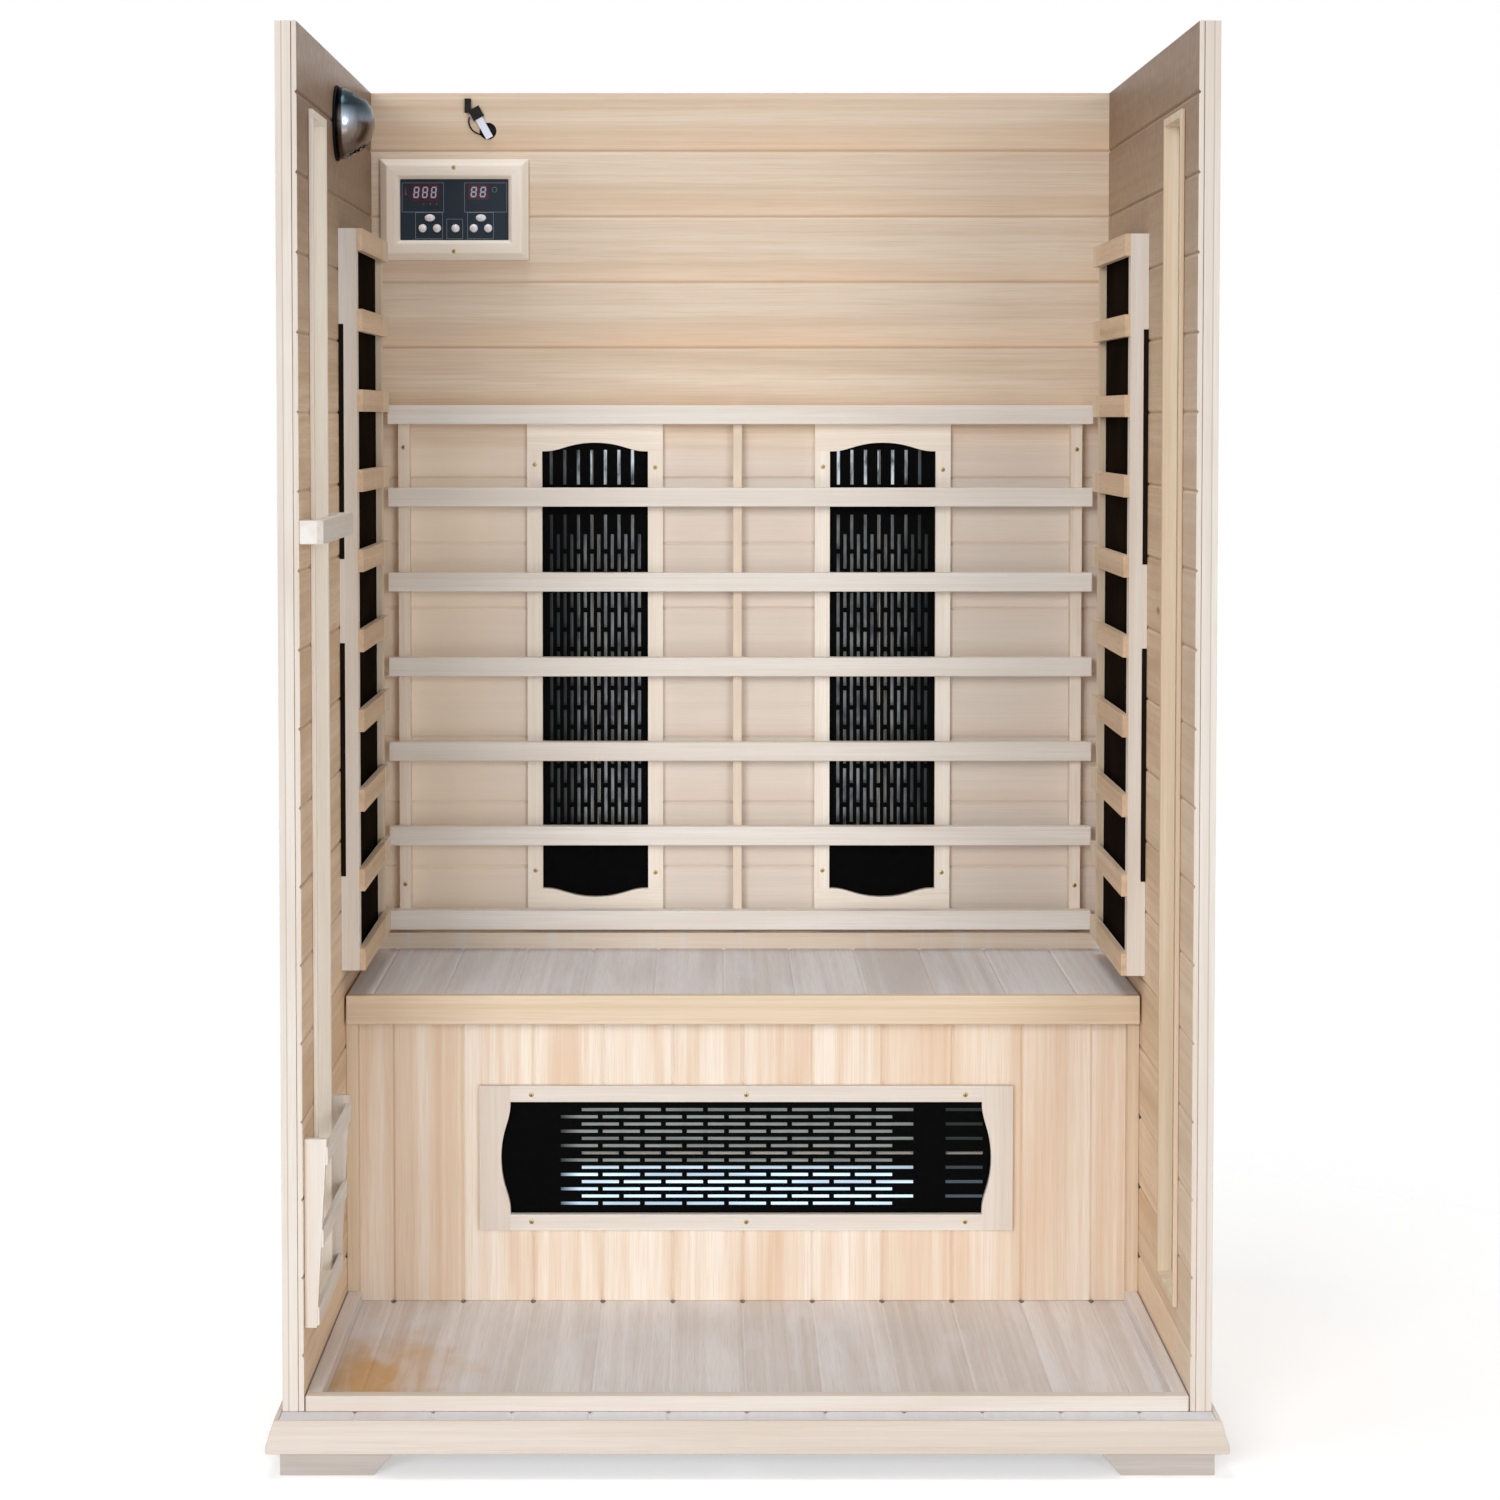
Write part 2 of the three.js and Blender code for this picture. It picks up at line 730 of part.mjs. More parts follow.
// A folded sheet pan, open to the front, that throws the tube's heat out through the grille.
function makeReflector() {
  const halfX = heaterBoxWidth / 2 - fit;
  const halfY = heaterBoxLength / 2 - fit;
  const outer = block([-halfX, -halfY, panBack], [halfX, halfY, panFront]);
  const inner = block(
    [-halfX + panSheet, -halfY + panSheet, panBack + panSheet],
    [halfX - panSheet, halfY - panSheet, panFront + bond],
  );
  return cut(outer, [inner]);
}

// A ceramic tube whose end caps sit on the pan.
function makeTube() {
  const half = heaterBoxLength / 2 - fit - panSheet - fit;
  const neck = half - tubeCapLength;
  const profile = [[0, -half], [tubeCapRadius, -half], [tubeCapRadius, -neck], [tubeRadius, -neck]];
  const points = [...profile, ...profile.map(([r, y]) => [r, -y]).reverse()];
  const tube = new THREE.LatheGeometry(points.map(([r, y]) => new THREE.Vector2(r, y)), tubeSides);
  return tube.translate(0, 0, panBack + panSheet + fit + tubeCapRadius);
}

function addHeater(name, position, turn) {
  const module = new THREE.Group();
  module.position.set(...position);
  module.rotation.set(Math.PI / 2, 0, turn);
  cabin.add(module);
  piece(`${name}_frame`, makeHeaterFrame(), finish(colours.paleWood), module);
  piece(`${name}_grille`, makeGrille(), finish(colours.black, 0.5, 0.6), module);
  piece(`${name}_reflector`, makeReflector(), finish(colours.steel, 0.25, 1), module);
  piece(`${name}_tube`, makeTube(), finish(colours.ceramic, 0.5), module);
}

for (const [name, x] of Object.entries(backHeaterX)) {
  addHeater(`back_heater_${name}`, [x, rearInnerY, backHeaterZ], 0);
}
addHeater('bench_heater', [benchHeaterX, benchPanelY, benchHeaterZ], -Math.PI / 2);

// Slatted side heaters

const sideHeaterRearY = rearInnerY - sideHeaterFromRear;
const sideHeaterFrontY = sideHeaterRearY - sideHeaterLength;
const sideHeaterLow = seatTop + sideHeaterAboveSeat;
const sideHeaterHigh = cabinHeight - sideHeaterBelowTop;
const sideHeaterMiddle = (sideHeaterLow + sideHeaterHigh) / 2;
const spacers = [
  [sideHeaterLow, sideHeaterLow + endSpacerLength],
  [sideHeaterMiddle - middleSpacerLength / 2, sideHeaterMiddle + middleSpacerLength / 2],
  [sideHeaterHigh - endSpacerLength, sideHeaterHigh],
];

// A box that stands off a side wall: from and to are measured out of the lining.
function onWall(side, [from, to], [frontY, rearY], [low, high]) {
  return block([side * (wallInnerX - from), frontY, low], [side * (wallInnerX - to), rearY, high]);
}

function makeSideHeaterFrame(side) {
  const stiles = [
    [sideHeaterFrontY, sideHeaterFrontY + stileWidth],
    [sideHeaterRearY - stileWidth, sideHeaterRearY],
  ];
  const stileOut = spacerDepth + stileDepth;
  const boxes = stiles.flatMap((span) => [
    onWall(side, [spacerDepth, stileOut], span, [sideHeaterLow, sideHeaterHigh]),
    ...spacers.map((levels) => onWall(side, [fit, spacerDepth + bond], span, levels)),
  ]);
  const step = (sideHeaterHigh - sideHeaterLow - sideSlatHeight) / (sideSlatCount - 1);
  for (let i = 0; i < sideSlatCount; i += 1) {
    const low = sideHeaterLow + i * step;
    const reach = [stileOut - bond, stileOut + sideSlatThickness];
    boxes.push(onWall(side, reach, [sideHeaterFrontY, sideHeaterRearY], [low, low + sideSlatHeight]));
  }
  return joined(boxes);
}

// The carbon panel lies on the lining between the stiles and widens behind them between the spacers.
function makeEmitter(side) {
  const reach = [fit, fit + emitterThickness];
  const tabReach = [fit, fit + emitterTabThickness];
  const narrow = [sideHeaterFrontY + stileWidth + fit, sideHeaterRearY - stileWidth - fit];
  const wide = [sideHeaterFrontY + fit, sideHeaterRearY - fit];
  const boxes = [onWall(side, reach, narrow, [sideHeaterLow + fit, sideHeaterHigh - fit])];
  for (let i = 1; i < spacers.length; i += 1) {
    boxes.push(onWall(side, tabReach, wide, [spacers[i - 1][1] + fit, spacers[i][0] - fit]));
  }
  return joined(boxes);
}

for (const [name, side] of Object.entries(sides)) {
  const lift = sideHeaterLift[name];
  const frame = makeSideHeaterFrame(side).translate(0, 0, lift);
  const emitter = makeEmitter(side).translate(0, 0, lift);
  piece(`side_heater_${name}_frame`, frame, finish(colours.paleWood));
  piece(`side_heater_${name}_emitter`, emitter, finish(colours.carbon, 0.6));
}

// Control panel in its own frame: x across, y up, z out of the rear wall

const control = new THREE.Group();
control.position.set(-wallInnerX + controlFromWall, rearInnerY, cabinHeight - controlBelowTop);
control.rotation.x = Math.PI / 2;
cabin.add(control);

const fasciaFront = lipBack - fit;
const fasciaBack = fasciaFront - fasciaThickness;
const keyPlaces = {
  button_left_oval: [leftKeysX, ovalKeyLift, true],
  button_left_down: [leftKeysX - keyPairHalfPitch, roundKeyHeight, false],
  button_left_up: [leftKeysX + keyPairHalfPitch, roundKeyHeight, false],
  button_centre: [centreKeyX, roundKeyHeight, false],
  button_right_oval: [rightKeysX, ovalKeyLift, true],
  button_right_down: [rightKeysX - keyPairHalfPitch, roundKeyHeight, false],
  button_right_up: [rightKeysX + keyPairHalfPitch, roundKeyHeight, false],
};

function makeControlFrame() {
  const section = [
    [0, lipBack], [0, lipFront],
    [mouldingBevel, mouldingProud], [mouldingBevel + mouldingFlat, mouldingProud],
    [mouldingWidth, mouldingEdge], [mouldingWidth, fit],
    [rebateWidth, fit], [rebateWidth, lipBack],
  ];
  return frameBody(section, controlOpeningWidth / 2, controlOpeningHeight / 2, (across, up, proud) =>
    new THREE.Vector3(across, up, proud));
}

// A key's outline, larger than the key by a margin.
function keyOutline([x, y, oval], margin) {
  const halfX = (oval ? ovalKeyWidth / 2 : keyRadius) + margin;
  const halfY = (oval ? ovalKeyHeight / 2 : keyRadius) + margin;
  return Array.from({ length: keySides }, (_, i) => {
    const angle = 2 * Math.PI * i / keySides;
    return new THREE.Vector2(x + halfX * Math.cos(angle), y + halfY * Math.sin(angle));
  });
}

function makeFascia() {
  const halfX = controlOpeningWidth / 2 + rebateWidth - fit;
  const halfY = controlOpeningHeight / 2 + rebateWidth - fit;
  const outer = [[-halfX, -halfY], [halfX, -halfY], [halfX, halfY], [-halfX, halfY]];
  const shape = new THREE.Shape(outer.map(([x, y]) => new THREE.Vector2(x, y)));
  shape.holes = Object.values(keyPlaces).map((key) => new THREE.Path(keyOutline(key, fit)));
  return prismOfShape('z', shape, fasciaBack, fasciaFront);
}

// A key fills its hole in the fascia and is kept in by a flange behind it.
function makeKey(key) {
  const flangeFront = fasciaBack - fit;
  const steps = [
    [flangeFront - keyFlange, keyFlange],
    [flangeFront, keyFlange],
    [flangeFront, 0],
    [fasciaFront + keyProud, 0],
  ];
  const rings = steps.map(([z, margin]) =>
    keyOutline(key, margin).map(({ x, y }) => new THREE.Vector3(x, y, z)));
  return ringBody(rings, keyOutline(key, 0));
}

piece('control_frame', makeControlFrame(), finish(colours.paleWood), control);
piece('control_fascia', makeFascia(), finish(colours.black, 0.35), control);
for (const [name, key] of Object.entries(keyPlaces)) {
  piece(name, makeKey(key), finish(colours.white, 0.4), control);
}

// Wall lamp in its own frame: x out of the left wall, z up

const lamp = new THREE.Group();
lamp.position.set(-wallInnerX + fit, rearInnerY - lampFromRear, cabinHeight - lampBelowTop);
cabin.add(lamp);

function dome(radius) {
  const profile = [new THREE.Vector2(0, 0)];
  for (let i = 0; i <= lampRings; i += 1) {
    const angle = Math.PI / 2 * i / lampRings;
    profile.push(new THREE.Vector2(radius * Math.cos(angle), radius * Math.sin(angle)));
  }
  profile[lampRings + 1].x = 0;
  return new THREE.LatheGeometry(profile, lampSegments).rotateZ(-Math.PI / 2);
}

// A star-shaped cutter leaves saw teeth around the upper or the lower vent.
function ventCutter(tilt) {
  const points = Array.from({ length: 2 * ventTeeth }, (_, i) => {
    const radius = ventRadius + (i % 2 ? ventToothDepth / 2 : -ventToothDepth / 2);
    const angle = Math.PI * i / ventTeeth;
    return [radius * Math.cos(angle), radius * Math.sin(angle)];
  });
  return prism('z', points, lampRadius / 2, lampRadius * 2).rotateY(tilt);
}

function makeShade() {
  const cutters = [dome(lampRadius - lampSheet), ventCutter(ventTilt), ventCutter(Math.PI - ventTilt)];
  const reach = lampRadius * 2;
  const wallSide = block([0, -reach, -reach], [-reach, reach, reach]);
  return cut(dome(lampRadius), [...cutters, wallSide]).translate(gasketThickness + fit, 0, 0);
}

function makeGasket() {
  const radius = lampRadius + gasketRim;
  const disc = new THREE.CylinderGeometry(radius, radius, gasketThickness, lampSegments);
  return disc.rotateZ(-Math.PI / 2).translate(gasketThickness / 2, 0, 0);
}

piece('lamp_gasket', makeGasket(), finish(colours.black), lamp);
piece('lamp_shade', makeShade(), finish(colours.chrome, 0.3, 1), lamp);

// Lead in its own frame at the hole: x across, y up, z out of the rear wall

const lead = new THREE.Group();
lead.position.set(leadHoleX, rearInnerY, leadHoleZ);
lead.rotation.x = Math.PI / 2;
cabin.add(lead);

// A box along the leaning axis of the connector: offsets are along it, across it and out of the wall.
function leaning([startX, startY], [along0, along1], [across0, across1], [out0, out1]) {
  const box = block([across0, along0, out0], [across1, along1, out1]);
  return box.rotateZ(leadLean).translate(startX, startY, 0);
}

function makeConnector() {
  const half = connectorWidth / 2;
  return leaning(connectorFoot, [0, connectorLength], [-half, half], [fit, fit + connectorThickness]);
}

// The plug grips the end of the connector, and its latch arm stands upright beside it.
function makePlug() {
  const start = connectorLength + fit;
  const half = plugWidth / 2;
  const body = leaning(connectorFoot, [start, start + plugLength], [-half, half], [fit, fit + plugThickness]);
  const [armX, armY] = latchFoot;
  const arm = block(
    [armX, armY, fit + bond],
    [armX + latchWidth, armY + latchLength, fit + plugThickness - bond],
  );
  return joined([body, arm]);
}

// Hand-chosen route of the thin wire, from the plug round to the hole and into the wall.
const wireRoute = [
  [-27.6, 20.5, 4.5], [-28.6, 14.5, 4.2], [-27, 7, 3.8], [-22.5, 0.5, 3.4], [-16.5, -3.2, 3.1],
  [-12.4, -4.9, 2.6], [-9.4, -5.6, 0.6], [-8.6, -5.7, -4], [-8.6, -5.7, -leadHoleDepth + fit],
];

function makeWire() {
  const path = new THREE.CatmullRomCurve3(wireRoute.map((point) => new THREE.Vector3(...point)));
  const ring = Array.from({ length: wireSides }, (_, i) => {
    const angle = 2 * Math.PI * i / wireSides;
    return new THREE.Vector2(wireRadius * Math.cos(angle), wireRadius * Math.sin(angle));
  });
  return new THREE.ExtrudeGeometry(new THREE.Shape(ring), { steps: wireSteps, extrudePath: path });
}

piece('lead_connector', makeConnector(), finish(colours.white, 0.4), lead);
piece('lead_plug', makePlug(), finish(colours.black, 0.45), lead);
piece('lead_wire', makeWire(), finish(colours.black, 0.5), lead);

// Towel rail: a chamfered bar on two end blocks

function makeTowelRail() {
  const low = deckTop + towelAboveDeck;
  const high = low + towelHeight;
  const frontY = wallFrontY + fit;
  const rearY = sideHeaterFrontY - towelHeaterGap;
  const inner = -wallInnerX + towelStandoff;
  const outer = inner + towelThickness;
  const bar = [
    [inner, frontY], [outer - towelChamfer, frontY], [outer, frontY + towelChamfer],
    [outer, rearY - towelChamfer], [outer - towelChamfer, rearY], [inner, rearY],
  ];
  const blocks = [[frontY, frontY + towelBlock], [rearY - towelBlock, rearY]].map((span) =>
    onWall(-1, [fit, towelStandoff + bond], span, [low, high]));
  return joined([prism('z', bar, low, high), ...blocks]);
}

piece('towel_rail', makeTowelRail(), finish(colours.paleWood));

// Magazine rack: two tapered end boards, three slats and a narrow floor, open at the top and to the wall

function makeRack() {
  const low = deckTop + rackAboveDeck;
  const high = low + rackHeight;
  const frontY = wallFrontY + rackFromFront;
  const rearY = frontY + rackLength;
  const depthAt = (up) => rackBottomDepth + (rackTopDepth - rackBottomDepth) * up / rackHeight;
  const board = [
    [-wallInnerX + fit, low], [-wallInnerX + rackBottomDepth, low],
    [-wallInnerX + rackTopDepth, high], [-wallInnerX + fit, high],
  ];
  const boards = [[frontY, frontY + rackEndThickness], [rearY - rackEndThickness, rearY]].map(([from, to]) =>
    prism('y', board, from, to));
  const slats = rackSlatHeights.map((up) => {
    const out = depthAt(up + rackSlatHeight / 2) + rackSlatProud;
    const levels = [low + up, low + up + rackSlatHeight];
    return onWall(-1, [out - rackSlatThickness, out], [frontY + bond, rearY - bond], levels);
  });
  const floor = onWall(-1, [rackFloorSetback, rackBottomDepth - bond], [frontY + bond, rearY - bond],
    [low + bond, low + bond + rackFloorThickness]);
  return joined([...boards, ...slats, floor]);
}

piece('magazine_rack', makeRack(), finish(colours.paleWood));

export default cabin;
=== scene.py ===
"""Looks of the infrared sauna cabin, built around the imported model.

Metres. +X is to the right seen from the front, +Y goes to the rear and +Z is up.
"""

import math

import bmesh
import bpy
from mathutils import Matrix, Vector


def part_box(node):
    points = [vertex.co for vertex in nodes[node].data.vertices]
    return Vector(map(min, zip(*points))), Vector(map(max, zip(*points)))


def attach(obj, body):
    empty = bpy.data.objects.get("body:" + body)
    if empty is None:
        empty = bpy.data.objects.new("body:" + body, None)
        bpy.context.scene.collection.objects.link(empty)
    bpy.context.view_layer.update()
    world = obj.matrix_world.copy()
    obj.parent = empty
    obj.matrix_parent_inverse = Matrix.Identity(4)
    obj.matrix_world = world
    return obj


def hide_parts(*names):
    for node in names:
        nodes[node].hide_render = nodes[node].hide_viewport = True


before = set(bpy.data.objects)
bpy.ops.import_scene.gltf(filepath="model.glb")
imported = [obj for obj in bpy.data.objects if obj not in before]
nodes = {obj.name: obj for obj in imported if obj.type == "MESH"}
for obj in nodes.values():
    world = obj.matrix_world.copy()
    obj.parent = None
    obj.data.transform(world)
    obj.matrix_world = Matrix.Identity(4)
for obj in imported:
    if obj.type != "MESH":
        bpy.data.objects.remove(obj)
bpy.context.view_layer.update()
scene = bpy.context.scene
scene.view_settings.view_transform = "Standard"

# Planes and levels of the model that several pieces use
SEAT_TOP = 0.511
WALL_TOP = 1.797
FIRST_GROOVE = 1.710
BOARD_PITCH = 0.098
SEAT_GROOVE = -0.0245
REAR_Y = 0.480
WALL_X = 0.553
FRONT_Y = -0.476
PANEL_Y = 0.074
BATTEN_Y = PANEL_Y - 0.025
CLADDING_X = 0.572
CONTROL_X, CONTROL_Z = -0.428, 1.622
CONTROL_HALF_X, CONTROL_HALF_Z = 0.081, 0.0455
FASCIA_Y = REAR_Y - 0.0097
LAMP_Z = 1.710
HOLE = Vector((-0.378, REAR_Y, WALL_TOP - 0.057))
CABIN = "cabin"

# Camera: one-point view of the open front, with a small downward pitch
camera = bpy.data.objects.new("camera", bpy.data.cameras.new("camera"))
scene.collection.objects.link(camera)
camera.location = (-0.0518, -4.7769, 1.3108)
camera.rotation_euler = (math.radians(90 - 2.8), 0, 0)
camera.data.sensor_width = 36
camera.data.lens = 83.735
camera.data.shift_x = 0.0296
camera.data.shift_y = -0.1077
camera.data.clip_end = 100
scene.camera = camera


def srgb(red, green, blue):
    """A colour given as 0 to 255 sRGB, in linear light."""
    def linear(value):
        value /= 255
        return value / 12.92 if value <= 0.04045 else ((value + 0.055) / 1.055) ** 2.4
    return (linear(red), linear(green), linear(blue), 1.0)


class Graph:
    """A material's nodes around one Principled shader."""

    def __init__(self, name):
        self.material = bpy.data.materials.new(name)
        self.material.use_nodes = True
        self.tree = self.material.node_tree
        self.tree.nodes.clear()
        self.shader = self.add("BsdfPrincipled")
        self.add("OutputMaterial", {"Surface": self.shader.outputs[0]})
        self.place = self.add("TexCoord").outputs["Object"]
        self.xyz = self.add("SeparateXYZ", {"Vector": self.place})
        self.normal = self.add("SeparateXYZ", {"Vector": self.add("NewGeometry").outputs["Normal"]})

    def add(self, kind, sockets=None, **settings):
        node = self.tree.nodes.new("ShaderNode" + kind)
        for key, value in settings.items():
            setattr(node, key, value)
        for key, value in (sockets or {}).items():
            if isinstance(value, bpy.types.NodeSocket):
                self.tree.links.new(value, node.inputs[key])
            else:
                node.inputs[key].default_value = value
        return node

    def math(self, operation, first, second=0.0):
        return self.add("Math", {0: first, 1: second}, operation=operation).outputs[0]

    def vector(self, operation, first, second):
        return self.add("VectorMath", {0: first, 1: second}, operation=operation).outputs[0]

    def both(self, first, second):
        """The product of two masks or shares."""
        return self.math("MULTIPLY", first, second)

    def gap(self, value, middle):
        """How far a value is from a middle."""
        return self.math("ABSOLUTE", self.math("SUBTRACT", value, middle))

    def distance(self, where, middle):
        return self.add("VectorMath", {0: where, 1: middle}, operation="DISTANCE").outputs["Value"]

    def axis(self, name):
        return self.xyz.outputs["xyz".index(name)]

    def spread(self, value, low, high, to_low=0.0, to_high=1.0):
        """A value taken from one range to another and held at the ends."""
        sockets = {"Value": value, "From Min": low, "From Max": high, "To Min": to_low, "To Max": to_high}
        return self.add("MapRange", sockets).outputs[0]

    def mix(self, share, first, second):
        """A colour between two others."""
        return self.add("Mix", {0: share, 6: first, 7: second}, data_type="RGBA").outputs[2]

    def noise(self, scale, detail=2.0, where=None, distortion=0.0):
        """Noise with its own scale along each axis."""
        scales = scale if isinstance(scale, tuple) else (scale,) * 3
        stretched = self.vector("MULTIPLY", where or self.place, scales)
        sockets = {"Vector": stretched, "Scale": 1.0, "Detail": detail, "Distortion": distortion}
        return self.add("TexNoise", sockets).outputs[0]

    def surface(self, colour, roughness, height=None, depth=0.0003, strength=0.25, **fixed):
        """The finished material: colour, roughness, bump from a height and fixed values."""
        sockets = self.shader.inputs
        for key, value in {"Base Color": colour, "Roughness": roughness}.items():
            if isinstance(value, bpy.types.NodeSocket):
                self.tree.links.new(value, sockets[key])
            else:
                sockets[key].default_value = value
        for key, value in fixed.items():
            sockets[key.replace("_", " ").title().replace("Ior", "IOR")].default_value = value
        if height:
            bump = self.add("Bump", {"Strength": strength, "Distance": depth, "Height": height})
            self.tree.links.new(bump.outputs[0], sockets["Normal"])
        return self.material


# Wood

RINGS = 9.0  # growth rings across the figure's range

# Noise in the wood, as scale along the grain, scale across it, detail and distortion
CLOUD = (0.7, 22, 2)
STREAK = (0.45, 120, 2)
FIBRE = (12, 800, 2)
FIGURE = (0.28, 4.5, 1.0, 0.2)
KNOT_SHARE = 0.12
KNOT_COLOUR = srgb(128, 84, 48)


def board_tone(light, dark, line, figure=0.25, spread=0.40, seam=(150, 120, 92), join=0.30):
    """Colours of one kind of board, and how strong its figure, its spread and its seams are."""
    return dict(light=srgb(*light), dark=srgb(*dark), line=srgb(*line), figure=figure, spread=spread,
                seam=srgb(*seam), join=join)


TONES = {
    "wall": board_tone((228, 212, 194), (213, 191, 167), (196, 164, 134),
                       figure=0.22, spread=0.35, seam=(164, 124, 88), join=0.32),
    "lining": board_tone((240, 217, 190), (221, 192, 160), (194, 160, 126), seam=(150, 116, 86), join=0.25),
    "slat": board_tone((232, 207, 179), (211, 182, 151), (184, 150, 117)),
    "upright": board_tone((246, 235, 222), (235, 219, 201), (215, 194, 171)),
    "frame": board_tone((254, 248, 239), (247, 236, 223), (228, 210, 190)),
    "trim": board_tone((238, 234, 230), (227, 219, 210), (212, 197, 181)),
    "warm": board_tone((236, 221, 200), (221, 199, 171), (203, 173, 141)),
    "edge": board_tone((231, 223, 215), (221, 209, 197), (207, 190, 173), spread=0.30),
    "skirt": board_tone((221, 210, 200), (210, 197, 184), (196, 178, 161), spread=0.30),
    "foot": board_tone((205, 198, 193), (190, 181, 175), (174, 161, 150), spread=0.30),
    "plank": board_tone((235, 231, 231), (214, 206, 202), (192, 179, 170),
                        spread=0.45, seam=(238, 234, 232), join=0.55),
    "panel": board_tone((250, 241, 229), (236, 214, 192), (219, 179, 137),
                        figure=0.32, spread=0.30, seam=(190, 156, 122), join=0.22),
}


def grain(g, along, tone, boards=None):
    """Colour and height of bare softwood with its grain along an axis, and boards of their own tone."""
    look = TONES[tone]
    where = g.place
    seam = None
    if boards:
        axis, pitch, phase = boards
        step = g.math("DIVIDE", g.math("SUBTRACT", g.axis(axis), phase), pitch)
        drawn = g.add("TexWhiteNoise", {"W": g.math("FLOOR", step)}, noise_dimensions="1D")
        chance = drawn.outputs[0]
        where = g.vector("ADD", g.place, g.vector("MULTIPLY", drawn.outputs[1], (4.0, 4.0, 4.0)))
        seam = g.math("MULTIPLY", g.math("PINGPONG", step, 0.5), pitch)

    def noise(run, across, detail, distortion=0.0):
        scales = tuple(run if name == along else across for name in "xyz")
        return g.noise(scales, detail, where, distortion)

    cloud, streak, fibre, field = (noise(*scales) for scales in (CLOUD, STREAK, FIBRE, FIGURE))
    wave = g.math("SINE", g.math("MULTIPLY", field, 2 * math.pi * RINGS))
    rings = g.math("POWER", g.spread(wave, -1, 1), 5.0)
    tone_share = g.math("ADD", cloud, g.math("MULTIPLY", g.math("SUBTRACT", streak, 0.5), 0.9))
    if boards:
        shift = g.math("MULTIPLY", g.math("SUBTRACT", chance, 0.5), look["spread"])
        tone_share = g.math("ADD", tone_share, shift)
    colour = g.mix(g.spread(tone_share, 0.25, 0.75), look["light"], look["dark"])
    colour = g.mix(g.math("MULTIPLY", rings, look["figure"]), colour, look["line"])
    colour = g.mix(g.spread(fibre, 0.45, 0.75, 0.0, 0.36), colour, look["line"])
    cells_at = g.vector("MULTIPLY", where, tuple(1.6 if name == along else 6.0 for name in "xyz"))
    cells = g.add("TexVoronoi", {"Vector": cells_at, "Scale": 1.0})
    drawn_cell = g.add("SeparateXYZ", {"Vector": cells.outputs["Color"]}).outputs[0]
    rare = g.math("LESS_THAN", drawn_cell, KNOT_SHARE)
    knot = g.both(g.spread(cells.outputs["Distance"], 0.012, 0.04, 0.75, 0.0), rare)
    colour = g.mix(knot, colour, KNOT_COLOUR)
    if seam:
        colour = g.mix(g.spread(seam, 0.0004, 0.0022, look["join"], 0.0), colour, look["seam"])
    height = g.math("ADD", g.math("MULTIPLY", rings, 0.4), fibre)
    return colour, height


def beyond(axis, level):
    """Further along an axis than a level."""
    return lambda g: g.math("GREATER_THAN", g.axis(axis), level)


def away(axis, middle, reach):
    """Further than reach from a middle plane."""
    return lambda g: g.math("GREATER_THAN", g.gap(g.axis(axis), middle), reach)


def facing(axis):
    """Faces that look along an axis, either way."""
    return lambda g: g.math("GREATER_THAN", g.math("ABSOLUTE", g.normal.outputs["xyz".index(axis)]), 0.7)


def mitre(across, up, half_across, half_up):
    """The upper and lower members of a mitred frame around a middle (across, up)."""
    def mask(g):
        side = g.math("SUBTRACT", g.gap(g.axis("x"), across), half_across)
        top = g.math("SUBTRACT", g.gap(g.axis("z"), up), half_up)
        return g.math("GREATER_THAN", top, side)
    return mask


def wood(name, along, tone, boards=None, over=(), paint=None):
    """Bare wood. over adds (mask, along, tone) for members whose grain runs another way."""
    g = Graph(name)
    colour, height = grain(g, along, tone, boards)
    for mask, other_along, other_tone in over:
        other, other_height = grain(g, other_along, other_tone)
        colour = g.mix(mask(g), colour, other)
        height = g.math("ADD", height, g.math("MULTIPLY", other_height, 0.2))
    if paint:
        colour = paint(g, colour)
    roughness = g.spread(g.noise(60, 3), 0.3, 0.7, 0.52, 0.68)
    return g.surface(colour, roughness, height, 0.0004, 0.3, specular_ior_level=0.3)


SHADE_TAN = srgb(120, 90, 68)
SHADE_LEVEL = 1.30  # height from which the painted shade turns the upper boards tan
LINING_BACK = WALL_X + 0.016


def groove_ends(g, axis, phase, rear):
    """Small unlit ends of the grooves along an axis, in front of the plane that they run behind."""
    step = g.math("DIVIDE", g.math("SUBTRACT", g.axis(axis), phase), BOARD_PITCH)
    aside = g.both(g.math("PINGPONG", step, 0.5), BOARD_PITCH)
    depth = g.gap(g.axis("y"), rear - 0.003)
    return g.both(g.math("LESS_THAN", aside, 0.0036), g.math("LESS_THAN", depth, 0.0042))


def side_wall_painted_shade(g, colour):
    """Inside of a side wall: painted shade in tan towards the top, paler towards the front on the right,
    unlit groove ends under the bench.
    """
    inside = g.math("LESS_THAN", g.math("ABSOLUTE", g.axis("x")), LINING_BACK)
    inside = g.both(inside, g.math("SUBTRACT", 1.0, facing("y")(g)))
    under = g.both(inside, g.math("LESS_THAN", g.axis("z"), SEAT_TOP - 0.08))
    ends = groove_ends(g, "z", FIRST_GROOVE, BATTEN_Y)
    colour = g.mix(g.both(ends, under), colour, srgb(44, 31, 23))
    right = g.both(inside, g.math("GREATER_THAN", g.axis("x"), 0.0))
    # Paler towards the front of the right wall
    worn = g.both(right, g.spread(g.axis("y"), -0.38, -0.31, 0.3, 0.0))
    colour = g.mix(worn, colour, srgb(228, 219, 207))
    # Painted shade: tan rising from the middle of the right wall, and tan towards the top of both walls
    middle = g.both(right, g.spread(g.axis("z"), 0.60, SHADE_LEVEL, 0.0, 0.22))
    colour = g.mix(middle, colour, SHADE_TAN)
    darkest = g.spread(right, 0.0, 1.0, WALL_TOP - 0.12, WALL_TOP + 0.02)
    share = g.both(inside, g.spread(g.axis("z"), SHADE_LEVEL, darkest, 0.0, 0.90))
    return g.mix(share, colour, SHADE_TAN)


